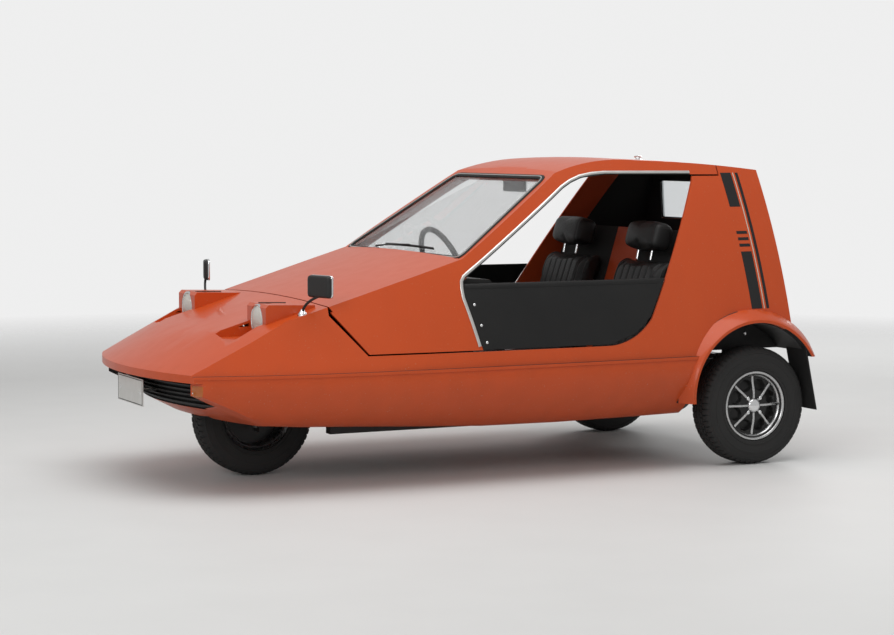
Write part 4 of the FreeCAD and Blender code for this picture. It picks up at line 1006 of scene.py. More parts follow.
# %% Headlamps
LAMP_AT = (-0.976, 0.400, 0.652)
POD_LINE = (-0.955, -0.93, -0.90, -0.87, -0.845)
POD_LINE_Y = 0.3600
DOME_ANGLES = (0.2, 0.4, 0.6, 0.8, 1.0, 1.2, 1.35, 1.5)
BOWL_SHARES = (0.02, 0.1, 0.2, 0.35, 0.5, 0.7, 0.85, 1.0)
dome = [(0.0565 * math.sin(a), 0.0010 - 0.0162 * math.cos(a) ** 1.6) for a in DOME_ANGLES]
dome = [(0.0001, -0.0152)] + dome
glass = dome + [(r * 0.96, along + 0.0026) for r, along in reversed(dome)]
curve = [(0.0550 * t ** 0.5, 0.0230 - 0.0225 * t) for t in BOWL_SHARES]
bowl = curve + [(r + 0.0016, along + 0.0012) for r, along in reversed(curve)] + curve[:1]
BULB = (
    (0.0001, -0.0005), (0.004, 0.0), (0.0062, 0.003), (0.0068, 0.008), (0.006, 0.0222),
    (0.0001, 0.0222),
)
LAMP_RIM = (
    (0.0550, 0.0030), (0.0562, -0.0026), (0.0592, -0.0040), (0.0618, -0.0022), (0.0620, 0.0090),
    (0.0600, 0.0100), (0.0560, 0.0080), (0.0550, 0.0030),
)
LAMP_PARTS = (
    # name, profile, finish, steps, smoothing angle, solids it stands for
    ("headlamp_glass_", glass, lamp_lens, 64, 60, ("headlamps",)),
    ("headlamp_bowl_", bowl, reflector, 64, 60, ()),
    ("headlamp_bulb_", BULB, reflector, 24, 60, ()),
    ("headlamp_rim_", LAMP_RIM, chrome, 72, 50, ()),
)
for name, side in SIDES.items():
    at = (LAMP_AT[0], side * LAMP_AT[1], LAMP_AT[2])
    for label, profile, finish, steps, smooth, solids in LAMP_PARTS:
        part = Gather().turned(profile, at, axis="X", steps=steps)
        part.piece(label + name, finish, "body", smooth=smooth, stands_for=solids)
    path, ways = met([from_above("nose_deck", x, side * POD_LINE_Y) for x in POD_LINE])
    line = Gather().ribbon(path, ways, width=0.009, thick=0.0030)
    line.piece("pod_weatherstrip_" + name, rubber, "body", smooth=50)
print("headlamps:", len(LAMP_PARTS), "turned parts on each side")

# %% [markdown]
# ## Corner and tail lamps
# The corner lamps are plain amber blocks, eased like a panel. Each tail lamp is a round lens
# with moulded rings in a chrome cup. The rings are coarse enough to see, so they are part of
# the turned profile rather than bump.

# %% Corner lamps and tail lamps
TAIL_Y = 0.505
TAIL_INSET = 0.042
LENS_RADIUS = 0.0345
LENS_EDGE = 0.0352
RINGS = 11
SCREW = ((0.0001, -0.0012), (0.0026, -0.0010), (0.0034, 0.0006), (0.0001, 0.0020))
SCREW_PLACES = (0.516, 0.596)
SCREW_Z = 0.397
dressed("corner_lamps", amber_lens, 0.0035, smooth=50)
low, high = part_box("tail_lamps")
rings = [(0.0001, 0.0)]
for k in range(1, RINGS + 1):
    share = k / RINGS
    rings.append((LENS_RADIUS * share, -0.0065 * share ** 2 - (0.0008 if k % 2 else 0.0)))
rings += [(LENS_EDGE, -0.0100), (LENS_EDGE, -0.0200), (0.0001, -0.0200)]
TAIL_LAMPS = (
    # name, height of the centre, finish of the lens
    ("low_", low[2] + TAIL_INSET, red_lens),
    ("high_", high[2] - TAIL_INSET, amber_lens),
)
for name, side in SIDES.items():
    for label, z, finish in TAIL_LAMPS:
        at, _ = from_end("tail_lamps", side * TAIL_Y, z)
        lens = Gather().turned(rings, at, axis="X", steps=56)
        lens.piece("tail_lens_" + label + name, finish, "body", smooth=24, stands_for=("tail_lamps",))
        depth = at.x - low[0]
        cup = (
            (LENS_EDGE, -0.0060), (0.0370, -0.0046), (0.0400, -0.0062), (0.0418, -0.0100),
            (0.0420, -depth), (LENS_EDGE, -depth), (LENS_EDGE, -0.0060),
        )
        rim = Gather().turned(cup, at, axis="X", steps=56)
        rim.piece("tail_rim_" + label + name, chrome, "body", smooth=40)
screws = Gather()
for side in SIDES.values():
    answers = [from_end("corner_lamps", side * y, SCREW_Z, end=-1) for y in SCREW_PLACES]
    for at in met(answers)[0]:
        screws.turned(SCREW, at, axis="X", steps=16)
screws.piece("corner_lamp_screws", chrome, "body")
print("tail lamps at z", [round(z, 3) for _, z, _ in TAIL_LAMPS])

# %% [markdown]
# ## How a pad is filled
# The seats are foam under black leathercloth. A sharp-edged block can't look like that: the
# cover is stretched over a swelling form. So a start shape a little smaller than the pad is
# remeshed evenly and blown up as cloth under pressure for twenty frames, no point may move
# further than a set cap, and the result is smoothed and made finer.

# %% The filling of a pad
scene = bpy.context.scene
PRESSURE = 4.0
FRAMES = 20
SMOOTHINGS = 3


def swollen(trial, cap):
    """Blows an object up as cloth; no point moves further than the cap."""
    rest = [v.co.copy() for v in trial.data.vertices]
    cloth = trial.modifiers.new("filled", "CLOTH")
    cloth.settings.use_pressure = True
    cloth.settings.uniform_pressure_force = PRESSURE
    cloth.settings.effector_weights.gravity = 0.0
    for number in range(1, FRAMES + 1):
        scene.frame_set(number)
    shape = apply_modifiers(trial)
    for vertex, was in zip(shape.vertices, rest):
        step = vertex.co - was
        if step.length > cap:
            vertex.co = was + step.normalized() * cap
    scene.frame_set(1)
    return shape


def filled(start, voxel, cap):
    """Turns a start shape into an evenly meshed, swollen and smoothed pad."""
    trial = linked("filling", start)
    even = trial.modifiers.new("even", "REMESH")
    even.mode = "VOXEL"
    even.voxel_size = voxel
    shape = apply_modifiers(trial)
    shape = swollen(trial, cap)
    bpy.data.objects.remove(trial)
    mesh = bmesh.new()
    mesh.from_mesh(shape)
    axes = {"use_axis_x": True, "use_axis_y": True, "use_axis_z": True}
    for _ in range(SMOOTHINGS):
        bmesh.ops.smooth_vert(mesh, verts=mesh.verts, factor=0.5, **axes)
    mesh.to_mesh(shape)
    mesh.free()
    holder = linked("finer", shape)
    divide = holder.modifiers.new("finer", "SUBSURF")
    divide.levels = divide.render_levels = 1
    shape = apply_modifiers(holder)
    bpy.data.objects.remove(holder)
    return shape


print("pads are filled over", FRAMES, "frames")

# %% [markdown]
# ## Seat cushions
# Seat and back are one bucket with sewn pleats down the middle and a bolster on each side. The
# seams could be bump, but they are deep enough to catch shadow, so they are pressed into the
# points of the filled cushion: a narrow dip at each pleat and a deeper one at the bolsters.

# %% Seat cushions
SEAT_Y = 0.320
SEAT_HALF = 0.215
SEAT_VOXEL = 0.0076
SWELLING = 0.014
START = (
    (0.162, 0.312), (0.142, 0.336), (0.142, 0.386), (0.172, 0.411), (0.556, 0.379), (0.628, 0.412),
    (0.770, 0.832), (0.804, 0.852), (0.836, 0.850), (0.656, 0.312),
)
PLEAT = 0.047
BOLSTER = 0.150


def dip(distance, width):
    return math.exp(-((distance / width) ** 2))


def pressed(data):
    """Presses the pleats and the bolster seams into the faces that are sat on."""
    data.update()
    normals = [v.normal.copy() for v in data.vertices]
    for vertex, normal in zip(data.vertices, normals):
        x, y, z = vertex.co.x, abs(vertex.co.y), vertex.co.z
        on_seat = normal.z > 0.45 and x < 0.60
        on_back = normal.x < -0.35 and z > 0.43
        if not (on_seat or on_back):
            continue
        depth = 0.0
        if y < BOLSTER - 0.006:
            depth = 0.0045 * dip((y + PLEAT / 2) % PLEAT - PLEAT / 2, 0.0042)
            if abs(x - 0.175) < 0.03:
                depth *= max(0.0, (x - 0.160) / 0.03)
        vertex.co -= normal * max(depth, 0.0070 * dip(y - BOLSTER, 0.0050))


first_y = -SEAT_HALF + SWELLING
block = Gather().slab([(x, first_y, z) for x, z in START], (0, -2 * first_y, 0))
cushion = filled(block.data("start"), SEAT_VOXEL, cap=0.024)
pressed(cushion)
for axis in range(3):
    places = [v.co[axis] for v in cushion.vertices]
    print("cushion along", "XYZ"[axis], round(min(places), 3), "to", round(max(places), 3))

# %% [markdown]
# ## Piping and both seats
# A piped edge runs round each side of the bucket, over the seam of the cover. Its line is given
# in the side view and pulled onto the nearest place of the cushion, then evened out, so that it
# stays on the leathercloth whatever the filling made of it.

# %% Both seats with piping
PIPING = (
    (0.150, 0.330), (0.140, 0.360), (0.146, 0.392), (0.176, 0.418), (0.350, 0.404), (0.556, 0.386),
    (0.622, 0.425), (0.690, 0.632), (0.758, 0.838), (0.786, 0.860), (0.818, 0.866), (0.842, 0.852),
)
PIPING_INSET = 0.022
PIPING_LIFT = 0.0008
EVENINGS = 4
for name, side in SIDES.items():
    data = cushion.copy()
    for vertex in data.vertices:
        vertex.co.y += side * SEAT_Y
    solids = ("seat_" + name,)
    seat = settle("seat_cushion_" + name, data, seat_cloth, "body", smooth=80, stands_for=solids)
    skin = skin_of("seat_cushion_" + name, data)
    piping = Gather()
    for edge in (LEFT, RIGHT):
        y = side * SEAT_Y + edge * (SEAT_HALF - PIPING_INSET)
        path = []
        for point in spaced([(x, 0, z) for x, z in PIPING], gap=0.012):
            near, normal, _, _ = skin.find_nearest(Vector((point.x, y, point.z)))
            path.append(near + normal * PIPING_LIFT)
        for _ in range(EVENINGS):
            inner = [(a + b * 2 + c) / 4 for a, b, c in zip(path, path[1:], path[2:])]
            path = path[:1] + inner + path[-1:]
        piping.swept(path, radius=0.0032, sides=10)
    piping.piece("seat_piping_" + name, piping_cloth, "body", smooth=80)
print("each seat:", len(cushion.vertices), "points and two piped edges")

# %% [markdown]
# ## Head rests
# A head rest is a small pad on two chrome posts, tilted with the back. Its start shape is a row
# of rounded sections that shrink towards the ends, and after the filling a seam is squeezed in
# near each end, where the cover's end panels are sewn on.

# %% Head rests
REST_AT = Vector((0.800, 0.0, 0.938))
TILT = Matrix.Rotation(math.radians(14), 4, "Y")
REST_VOXEL = 0.0060
REST_SEAM = 0.100
POST_PLACES = (-0.055, 0.055)
POST_TOP = -0.050
POST = Vector((0.002, 0, -0.050))
REST_CORNERS = [(-0.050, 0, -0.058), (-0.046, 0, 0.058), (0.046, 0, 0.058), (0.050, 0, -0.058)]
REST_SECTIONS = (
    # place across, share of the full section
    (-0.124, 0.62), (-0.119, 0.80), (-0.106, 0.94), (-0.080, 1.0),
    (0.080, 1.0), (0.106, 0.94), (0.119, 0.80), (0.124, 0.62),
)
section = rounded(REST_CORNERS, radius=0.030)
rows = [[(p.x * share, y, p.z * share) for p in section] for y, share in REST_SECTIONS]
pad = filled(Gather().rows(rows, capped=True).data("head_rest_start"), REST_VOXEL, cap=0.016)
for vertex in pad.vertices:
    squeeze = 1.0 - 0.030 * dip(abs(vertex.co.y) - REST_SEAM, 0.005)
    vertex.co.x *= squeeze
    vertex.co.z *= squeeze
for name, side in SIDES.items():
    data = pad.copy()
    data.transform(Matrix.Translation(REST_AT + Vector((0, side * SEAT_Y, 0))) @ TILT)
    rest = settle("head_rest_" + name, data, seat_cloth, "body", smooth=80, stands_for=("head_rests",))
    posts = Gather()
    for y in POST_PLACES:
        top = REST_AT + TILT @ Vector((0, side * SEAT_Y + y, POST_TOP))
        posts.swept([top, top + TILT @ POST], radius=0.0055, sides=14)
    posts.piece("head_rest_posts_" + name, chrome, "body")
print("each head rest:", len(pad.vertices), "points")

# %% [markdown]
# ## Lap belts
# A flat belt lies across each seat with a chrome buckle and a red button. Cloth simulation would
# be much work for a strip that lies still, so rays from above give its height over the filled
# cushion, and the ribbon bows forward as a fastened belt does on an empty seat.

# %% Lap belts
BELT_X = 0.505
BELT_POINTS = 33
BUCKLE_POINT = 14
BELT_HALF = 0.212
BELT_BOW = 0.030
BELT_LIFT = 0.002
UP = Vector((0, 0, 1))


def box_at(at, low, high):
    """A block whose corners are given from a place."""
    return Gather().block(at + Vector(low), at + Vector(high))


for name, side in SIDES.items():
    path = []
    for k in range(BELT_POINTS):
        share = k / (BELT_POINTS - 1)
        y = side * (SEAT_Y - BELT_HALF + 2 * BELT_HALF * share)
        hit, _ = from_above("seat_cushion_" + name, BELT_X, y)
        if hit:
            x = BELT_X - BELT_BOW * math.sin(math.pi * share)
            path.append(Vector((x, hit.y, hit.z + BELT_LIFT)))
    belt = Gather().ribbon(path, UP, width=0.046, thick=0.0022)
    belt.piece("lap_belt_" + name, webbing, "body", smooth=60)
    spot = path[BUCKLE_POINT]
    buckle = box_at(spot, (-0.027, -0.030, 0.001), (0.027, 0.030, 0.015))
    buckle.piece("belt_buckle_" + name, chrome, "body", ease=0.004, segments=3)
    shift = 0.006 * side
    button = box_at(spot, (-0.012, shift - 0.009, 0.012), (0.012, shift + 0.009, 0.0168))
    button.piece("belt_button_" + name, red_plastic, "body", ease=0.002)
print("belts across both seats:", len(path), "points each")

# %% [markdown]
# ## Steering wheel
# The wheel is a thin leathercloth rim on three drilled spokes, raked towards the seat. A plain
# ring would miss the finger grips, so the rim is a row of round sections whose size swells a
# little between them. The drilled holes are too small to cut and are laid on as dark discs.

# %% Steering wheel
WHEEL_AT = Vector((0.150, 0.300, 0.790))
RAKE = math.radians(22)
TO_SEAT = Vector((math.cos(RAKE), 0, math.sin(RAKE)))
WHEEL_UP = Vector((-math.sin(RAKE), 0, math.cos(RAKE)))
WHEEL_SIDE = Vector((0, 1, 0))
GRIP_CIRCLE = 0.178
GRIP_STEPS = 128
FINGER_GRIPS = 32
SPOKE_TURNS = (0.0, math.radians(110), math.radians(250))
SPOKE_PLACES = (0.030, 0.060, 0.090, 0.120, 0.150, 0.172)
SPOKE_THICK = 0.0032
HOLE_PLACES = (0.070, 0.100, 0.130)
BOSS = (
    (0.0001, 0.020), (0.016, 0.0190), (0.030, 0.0150), (0.036, 0.0080), (0.038, -0.010),
    (0.034, -0.022), (0.0001, -0.022),
)
CENTRE_DISC = (
    (0.0001, 0.0232), (0.012, 0.0226), (0.0185, 0.0208), (0.0190, 0.0180), (0.0001, 0.0180),
)


def on_wheel(radius, angle, out=0.0):
    """A place on the steering wheel: angle from straight down, out towards the seat."""
    spoke = WHEEL_SIDE * math.sin(angle) - WHEEL_UP * math.cos(angle)
    return WHEEL_AT + spoke * radius + TO_SEAT * out


def sagging(radius):
    """How far the spokes stand out towards the seat: they sink towards the boss."""
    return -0.006 * (1 - radius / GRIP_CIRCLE)


def circle(centre, one, two, radius, steps):
    """Points of a circle in the plane of two directions."""
    turns = [math.tau * step / steps for step in range(steps)]
    return [centre + (one * math.cos(t) + two * math.sin(t)) * radius for t in turns]


rows = []
for k in range(GRIP_STEPS):
    angle = math.tau * k / GRIP_STEPS
    point = on_wheel(GRIP_CIRCLE, angle)
    swell = 0.0126 - 0.0010 * (0.5 + 0.5 * math.cos(angle * FINGER_GRIPS))
    rows.append(circle(point, (point - WHEEL_AT).normalized(), TO_SEAT, swell, 18))
grip = Gather().rows(rows, closed_rows=True)
wheel = "steering_wheel"
grip.piece("steering_grip", grip_cloth, wheel, smooth=60, stands_for=(wheel,))
spokes = Gather()
holes = Gather()
for turn in SPOKE_TURNS:
    path = [on_wheel(r, turn, sagging(r)) for r in SPOKE_PLACES]
    spokes.ribbon(path, TO_SEAT, width=0.026, thick=SPOKE_THICK)
    for r in HOLE_PLACES:
        at = on_wheel(r, turn, sagging(r) + SPOKE_THICK + 0.0001)
        disc = circle(at, WHEEL_SIDE, WHEEL_UP, radius=0.0072, steps=20)
        holes.slab(disc, TO_SEAT * 0.0004)
spokes.piece("steering_spokes", alloy, wheel, ease=0.0010)
holes.piece("steering_spoke_holes", moulding, wheel)
on_column = Matrix.Translation(WHEEL_AT) @ Matrix.Rotation(-RAKE, 4, "Y")
boss = Gather().turned(BOSS, axis="X", steps=48).moved(on_column)
boss.piece("steering_boss", moulding, wheel, smooth=35)
disc = Gather().turned(CENTRE_DISC, axis="X", steps=40).moved(on_column)
disc.piece("steering_centre_disc", silver_trim, wheel, smooth=40)
print("steering wheel on", body_of[wheel])

# %% [markdown]
# ## Dashboard and dials
# The dashboard is a padded moulding with three dials and a row of switches. Printed marks would
# need an image, so each mark is a thin strip and the needle another, above a black disc inside
# a chrome ring. All of them stand on the place where a ray meets the padding.

# %% Dashboard, dials and switches
DIAL_Z = 0.742
DIALS = (
    # name, place across, radius
    ("speed", 0.250, 0.040),
    ("fuel", 0.350, 0.040),
    ("clock", 0.150, 0.026),
)
MARKS = 13
SWEEP_FROM = -130
SWEEP = 260
NEEDLE_AT = math.radians(-118)
REARWARD = Vector((1, 0, 0))
HUB_CAP = ((0.0001, 0.0036), (0.0032, 0.0030), (0.0036, 0.0016), (0.0001, 0.0016))
SOCKET = ((0.0001, 0.0030), (0.0080, 0.0026), (0.0100, 0.0), (0.0100, -0.001), (0.0001, -0.001))
SWITCHES = [0.070 - 0.032 * k for k in range(5)]
SWITCH_BENDS = ((0.002, 0, 0), (0.010, 0, 0.003), (0.018, 0, 0.008))


def on_dash(y):
    at, _ = from_end("dashboard", y, DIAL_Z)
    return at


def mark(at, angle, near, far, lift):
    """The ends of a mark on a dial, at an angle from straight up."""
    out = Vector((0, math.sin(angle), math.cos(angle)))
    return [at + out * reach + REARWARD * lift for reach in (near, far)]


dressed("dashboard", dash_skin, 0.0060, smooth=50)
for name, y, radius in DIALS:
    at = on_dash(y)
    inner = radius - 0.004
    ring = (
        (inner, 0.001), (inner, 0.006), (radius, 0.0085), (radius + 0.003, 0.006),
        (radius + 0.0035, -0.001), (inner, -0.001), (inner, 0.001),
    )
    face_radius = radius - 0.0035
    face = ((0.0001, 0.0016), (face_radius, 0.0016), (face_radius, -0.001), (0.0001, -0.001))
    for label, profile, finish in (("rim", ring, chrome), ("face", face, dial_black)):
        part = Gather().turned(profile, at, axis="X", steps=56)
        part.piece("dial_%s_%s" % (label, name), finish, "body", smooth=40)
    marks = Gather()
    for k in range(MARKS):
        angle = math.radians(SWEEP_FROM + SWEEP * k / (MARKS - 1))
        near = 0.66 if k % 3 else 0.54
        ends = mark(at, angle, radius * near, radius * 0.84, 0.0016)
        marks.ribbon(ends, REARWARD, width=0.0016 if k % 3 else 0.0024, thick=0.0004)
    marks.piece("dial_marks_" + name, dial_white, "body")
    ends = mark(at, NEEDLE_AT, -radius * 0.16, radius * 0.74, 0.0026)
    needle = Gather().ribbon(ends, REARWARD, width=0.0018, thick=0.0006)
    needle.turned(HUB_CAP, at, axis="X", steps=20).piece("dial_needle_" + name, amber_lens, "body")
sockets = Gather()
switches = Gather()
for y in SWITCHES:
    at = on_dash(y)
    sockets.turned(SOCKET, at, axis="X", steps=28)
    switches.swept([at + Vector(bend) for bend in SWITCH_BENDS], lambda t: 0.0022 + 0.0016 * t)
sockets.piece("switch_sockets", chrome, "body")
switches.piece("switch_levers", chrome, "body")
print(len(DIALS), "dials and", len(SWITCHES), "switches on the dashboard")

# %% [markdown]
# ## Gear lever and hand brake
# Both levers are bent rods with something softer on them: a turned knob and a folded gaiter, a
# wrapped grip and a push button. A rod is a swept path; the gaiter's folds are a zigzag profile
# turned about the lever's foot.

# %% Gear lever and hand brake
GEAR_ROD = ((0.092, 0.008, 0.425), (0.086, 0.009, 0.470), (0.075, 0.011, 0.530), (0.063, 0.013, 0.596))
GEAR_KNOB = (
    (0.0001, -0.022), (0.010, -0.021), (0.014, -0.012), (0.0195, 0.000), (0.0205, 0.008),
    (0.0175, 0.016), (0.0100, 0.0205), (0.0001, 0.0215),
)
BRAKE_ROD = (
    (0.372, 0.019, 0.404), (0.330, 0.020, 0.424), (0.290, 0.022, 0.448), (0.262, 0.0225, 0.466),
)
BRAKE_GRIP = (
    (0.292, 0.0215, 0.446), (0.284, 0.022, 0.4515), (0.250, 0.023, 0.474), (0.216, 0.024, 0.497),
    (0.208, 0.024, 0.502),
)
BRAKE_BUTTON = ((0.209, 0.024, 0.5015), (0.200, 0.024, 0.5075))
FOLDS = 7
lever = Gather().swept(GEAR_ROD, radius=0.0052, sides=14)
lever.piece("gear_lever", chrome, "body", smooth=60, stands_for=("cabin_levers",))
knob = Gather().turned(GEAR_KNOB, (0.060, 0.014, 0.612), axis="Z", steps=36)
knob.piece("gear_knob", moulding, "body", smooth=60)
folds = [(0.046, 0.000)]
for k in range(FOLDS):
    share = k / (FOLDS - 1)
    folds += [(0.044 - 0.032 * share, 0.006 + 0.0095 * k), (0.038 - 0.030 * share, 0.0105 + 0.0095 * k)]
folds += [(0.0055, 0.076), (0.0001, 0.076), (0.0001, 0.0)]
gaiter = Gather().turned(folds, (0.090, 0.009, 0.418), axis="Z", steps=40)
gaiter.piece("gear_gaiter", rubber, "body", smooth=50)
brake = Gather().swept(BRAKE_ROD, radius=0.0068, sides=14)
brake.piece("hand_brake_lever", chrome, "body", smooth=60)
handle = Gather().swept(BRAKE_GRIP, lambda t: 0.0125 - 0.0022 * abs(2 * t - 1) ** 3, sides=18)
handle.piece("hand_brake_grip", grip_cloth, "body", ease=0.002, smooth=50)
button = Gather().swept(BRAKE_BUTTON, radius=0.0058, sides=14)
button.piece("hand_brake_button", chrome, "body", ease=0.0015)
print("two levers stand in for the packed ones")

# %% [markdown]
# ## Door mirrors
# The mirrors are small oblong heads on bent stalks, bright round the edge and black behind. A
# few shrinking copies of one rounded outline make the head; the bright edge is a ribbon round
# it, and the glass is its own piece, because only it reflects sharply.

# %% Door mirrors
MIRROR_AT = (-0.812, 0.625, 0.788)
MIRROR_YAW = math.radians(-18)
MIRROR_FOOT = (-0.846, 0.536)
MIRROR_BEND = (-0.850, 0.548, 0.045)
MIRROR_SECTIONS = (
    # place along the car, share of the full outline
    (-0.0125, 0.74), (-0.0120, 0.84), (-0.0090, 0.925), (-0.0030, 0.968), (0.0080, 0.985),
)
MIRROR_BASE = (
    (0.0001, 0.020), (0.006, 0.0185), (0.0105, 0.012), (0.0170, 0.004), (0.0200, 0.001),
    (0.0200, -0.006), (0.0001, -0.006),
)
GLASS_X = 0.0086
outline = rounded(oblong(0, 0.065, -0.043, 0.043), radius=0.016)


def shrunk(x, share):
    return [Vector((x, p.y * share, p.z * share)) for p in outline]


for name, side in SIDES.items():
    turned = Matrix.Rotation(MIRROR_YAW * side, 4, "Z")
    place = Matrix.Translation((MIRROR_AT[0], side * MIRROR_AT[1], MIRROR_AT[2])) @ turned
    head = Gather().rows([shrunk(x, share) for x, share in MIRROR_SECTIONS], capped=True).moved(place)
    head.piece("mirror_head_" + name, moulding, "body", smooth=60, stands_for=("door_mirrors",))
    ring = shrunk(GLASS_X, 0.972)
    ways = [Vector((0, p.y, p.z)) for p in ring]
    edge = Gather().ribbon(ring, ways, width=0.0084, thick=0.0022, closed=True)
    edge.moved(place).piece("mirror_edge_" + name, chrome, "body", smooth=60)
    glass = Gather().slab(shrunk(GLASS_X, 0.955), (0.0022, 0, 0)).moved(place)
    glass.piece("mirror_glass_" + name, mirror_glass, "body", smooth=30)
    foot, _ = from_above("nose_deck", MIRROR_FOOT[0], side * MIRROR_FOOT[1])
    bend = Vector((MIRROR_BEND[0], side * MIRROR_BEND[1], foot.z + MIRROR_BEND[2]))
    top = place @ Vector((-0.004, 0, -0.036))
    stalk = Gather().swept(bent(foot, bend, top, steps=14), radius=0.0052, sides=14)
    stalk.piece("mirror_stalk_" + name, chassis_paint, "body", smooth=60)
    base = Gather().turned(MIRROR_BASE, foot, axis="Z", steps=36)
    base.piece("mirror_base_" + name, chrome, "body", smooth=50)

# %% [markdown]
# ## Wiper and roof knob
# The wiper rests low on the glass: a spindle, a flattened arm and a thin blade that bows a
# little. Its places are given on the screen, up and across, so they stay right if the slope
# changes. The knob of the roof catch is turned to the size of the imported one.

# %% Wiper, roof knob and inside mirror
SPINDLE = (
    (0.0001, 0.017), (0.0060, 0.0165), (0.0085, 0.0130), (0.0110, 0.0060), (0.0125, 0.0),
    (0.0125, -0.010), (0.0001, -0.010),
)
ARM = ((0.035, 0.262, 0.013), (0.040, 0.200, 0.016), (0.052, 0.090, 0.018), (0.066, -0.020, 0.012))
BLADE_PARTS = (
    # name, finish, start across, length, lift off the glass, width, thickness
    ("wiper_blade", chassis_paint, -0.250, 0.460, 0.0075, 0.0060, 0.0030),
    ("wiper_rubber", rubber, -0.252, 0.464, 0.0012, 0.0034, 0.0068),
)
BLADE_SHARES = [k / 22 for k in range(23)]
KNOB_SHARES = (
    # share of the half width, share of the height
    (1.0, 0.0), (0.96, 0.16), (0.50, 0.28), (0.42, 0.48), (0.72, 0.66), (0.78, 0.80), (0.60, 0.94),
)
spindle = Gather().turned(SPINDLE, axis="Z", steps=28)
spindle.moved(Matrix.Translation(on_screen(0.035, 0.268)) @ Matrix.Rotation(-SCREEN_SLOPE, 4, "Y"))
spindle.piece("wiper_spindle", chrome, "canopy", smooth=50, stands_for=("wiper",))
arm = Gather().swept([on_screen(*p) for p in ARM], lambda t: 0.0052 - 0.0022 * t, sides=10, flat=0.6)
arm.piece("wiper_arm", chassis_paint, "canopy", smooth=50)
for name, finish, start, length, lift, width, thick in BLADE_PARTS:
    path = []
    for t in BLADE_SHARES:
        path.append(on_screen(0.062 + 0.004 * math.sin(math.pi * t), start + length * t, lift))
    Gather().ribbon(path, OUT_OF_SCREEN, width, thick).piece(name, finish, "canopy")
low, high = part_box("roof_catch")
mid = middle("roof_catch")
tall = high[2] - low[2]
wide = min(high[0] - low[0], high[1] - low[1]) / 2
profile = [(wide * across, tall * up) for across, up in KNOB_SHARES]
profile += [(0.0001, tall), (0.0001, 0.0), (wide, 0.0)]
knob = Gather().turned(profile, (mid.x, mid.y, low[2]), axis="Z", steps=40)
knob.piece("roof_knob", chrome, "canopy", smooth=50, stands_for=("roof_catch",))
dressed("inside_mirror", moulding, 0.0030)
print("roof knob", round(tall * 1000), "mm tall")

# %% [markdown]
# ## Rear spring units
# A spring unit is a damper inside a coil. The coil is a wire swept along a helix, which no
# turned form could give; the damper with its two cups is a turned profile whose heights are
# shares of the unit's length.

# %% Spring units
SPRING_Y = 0.415
COILS = 8
WIRE = 0.0060
COIL_STEPS = COILS * 20


def spring_unit(name, foot, top, radius, solids):
    axis = top - foot
    length = axis.length
    place = Matrix.Translation(foot) @ axis.to_track_quat("Z", "Y").to_matrix().to_4x4()
    helix = []
    for k in range(COIL_STEPS + 1):
        t = k / COIL_STEPS
        angle = math.tau * COILS * t
        helix.append((radius * math.cos(angle), radius * math.sin(angle), length * (0.24 + 0.62 * t)))
    coil = Gather().swept(helix, WIRE, sides=10).moved(place)
    coil.piece(name + "_coil", spring_paint, "body", smooth=60, stands_for=solids)
    tube, cup = radius * 0.50, radius + WIRE
    rod, foot_eye, top_eye = tube * 0.45, tube * 0.7, tube * 0.8
    profile = (
        # radius, share of the length
        (0.0001, 0.0), (foot_eye, 0.0), (foot_eye, 0.04), (tube, 0.05), (tube, 0.20), (cup, 0.215),
        (cup, 0.235), (tube, 0.24), (tube, 0.56), (rod, 0.57), (rod, 0.86), (cup, 0.865),
        (cup, 0.885), (top_eye, 0.90), (foot_eye, 1.0), (0.0001, 1.0),
    )
    damper = Gather().turned([(r, share * length) for r, share in profile], axis="Z", steps=32)
    damper.moved(place).piece(name + "_damper", chassis_paint, "body", smooth=35)
    print(name, round(length * 1000), "mm long")


low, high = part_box("rear_springs")
mid = middle("rear_springs")
for name, side in SIDES.items():
    foot = Vector((mid.x, side * SPRING_Y, low[2]))
    top = Vector((mid.x, side * SPRING_Y, high[2]))
    spring_unit("rear_spring_" + name, foot, top, high[1] - SPRING_Y - 0.0065, ("rear_springs",))

# %% [markdown]
# ## Number plates
# The plates stay blank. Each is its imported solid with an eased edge; the stays behind it take
# black paint, because they are the faces well away from the plate's own front. A thin line
# runs round the edge, and two screws hold the plate.

# %% Plates, screws and edge lines
STAY_FROM = 0.030
SCREW_INSET = 0.030
DOME = ((0.0001, 0.0022), (0.0034, 0.0018), (0.0052, 0.0), (0.0001, -0.001))
for node, end in (("front_plate", -1), ("rear_plate", 1)):
    low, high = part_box(node)
    front = high[0] if end > 0 else low[0]
    plate = dressed(node, plate_white, 0.0016)
    second_finish(plate, chassis_paint, lambda face: abs(face.center.x - front) > STAY_FROM)
    screws = Gather()
    places = (low[1] + SCREW_INSET, high[1] - SCREW_INSET)
    for at in met([from_end(node, y, middle(node).z, end) for y in places])[0]:
        screws.turned(flipped(DOME, end), at, axis="X", steps=20)
    screws.piece(node + "_screws", chrome, body_of[node])
    corners = oblong(0, high[1] - 0.004, low[2] + 0.005, high[2] - 0.005)
    points, ways = met([from_end(node, y, z, end) for _, y, z in corners])
    around = spaced(points, gap=0.05, closed=True)
    line = Gather().ribbon(around, ways[0], width=0.0030, thick=0.0006, closed=True)
    line.piece(node + "_edge_line", rubber, body_of[node])
    print(node, "has a line through", len(points), "corners")

# %% [markdown]
# ## Rear window, lock, pull and plate lamps
# The small rear window sits in a rubber section, like the screen but on a curved panel, so its
# points are found by rays. The lid has a round lock, turned and tilted to the lid's slope, a
# bent pull bar, and two chrome housings that light the plate from above.

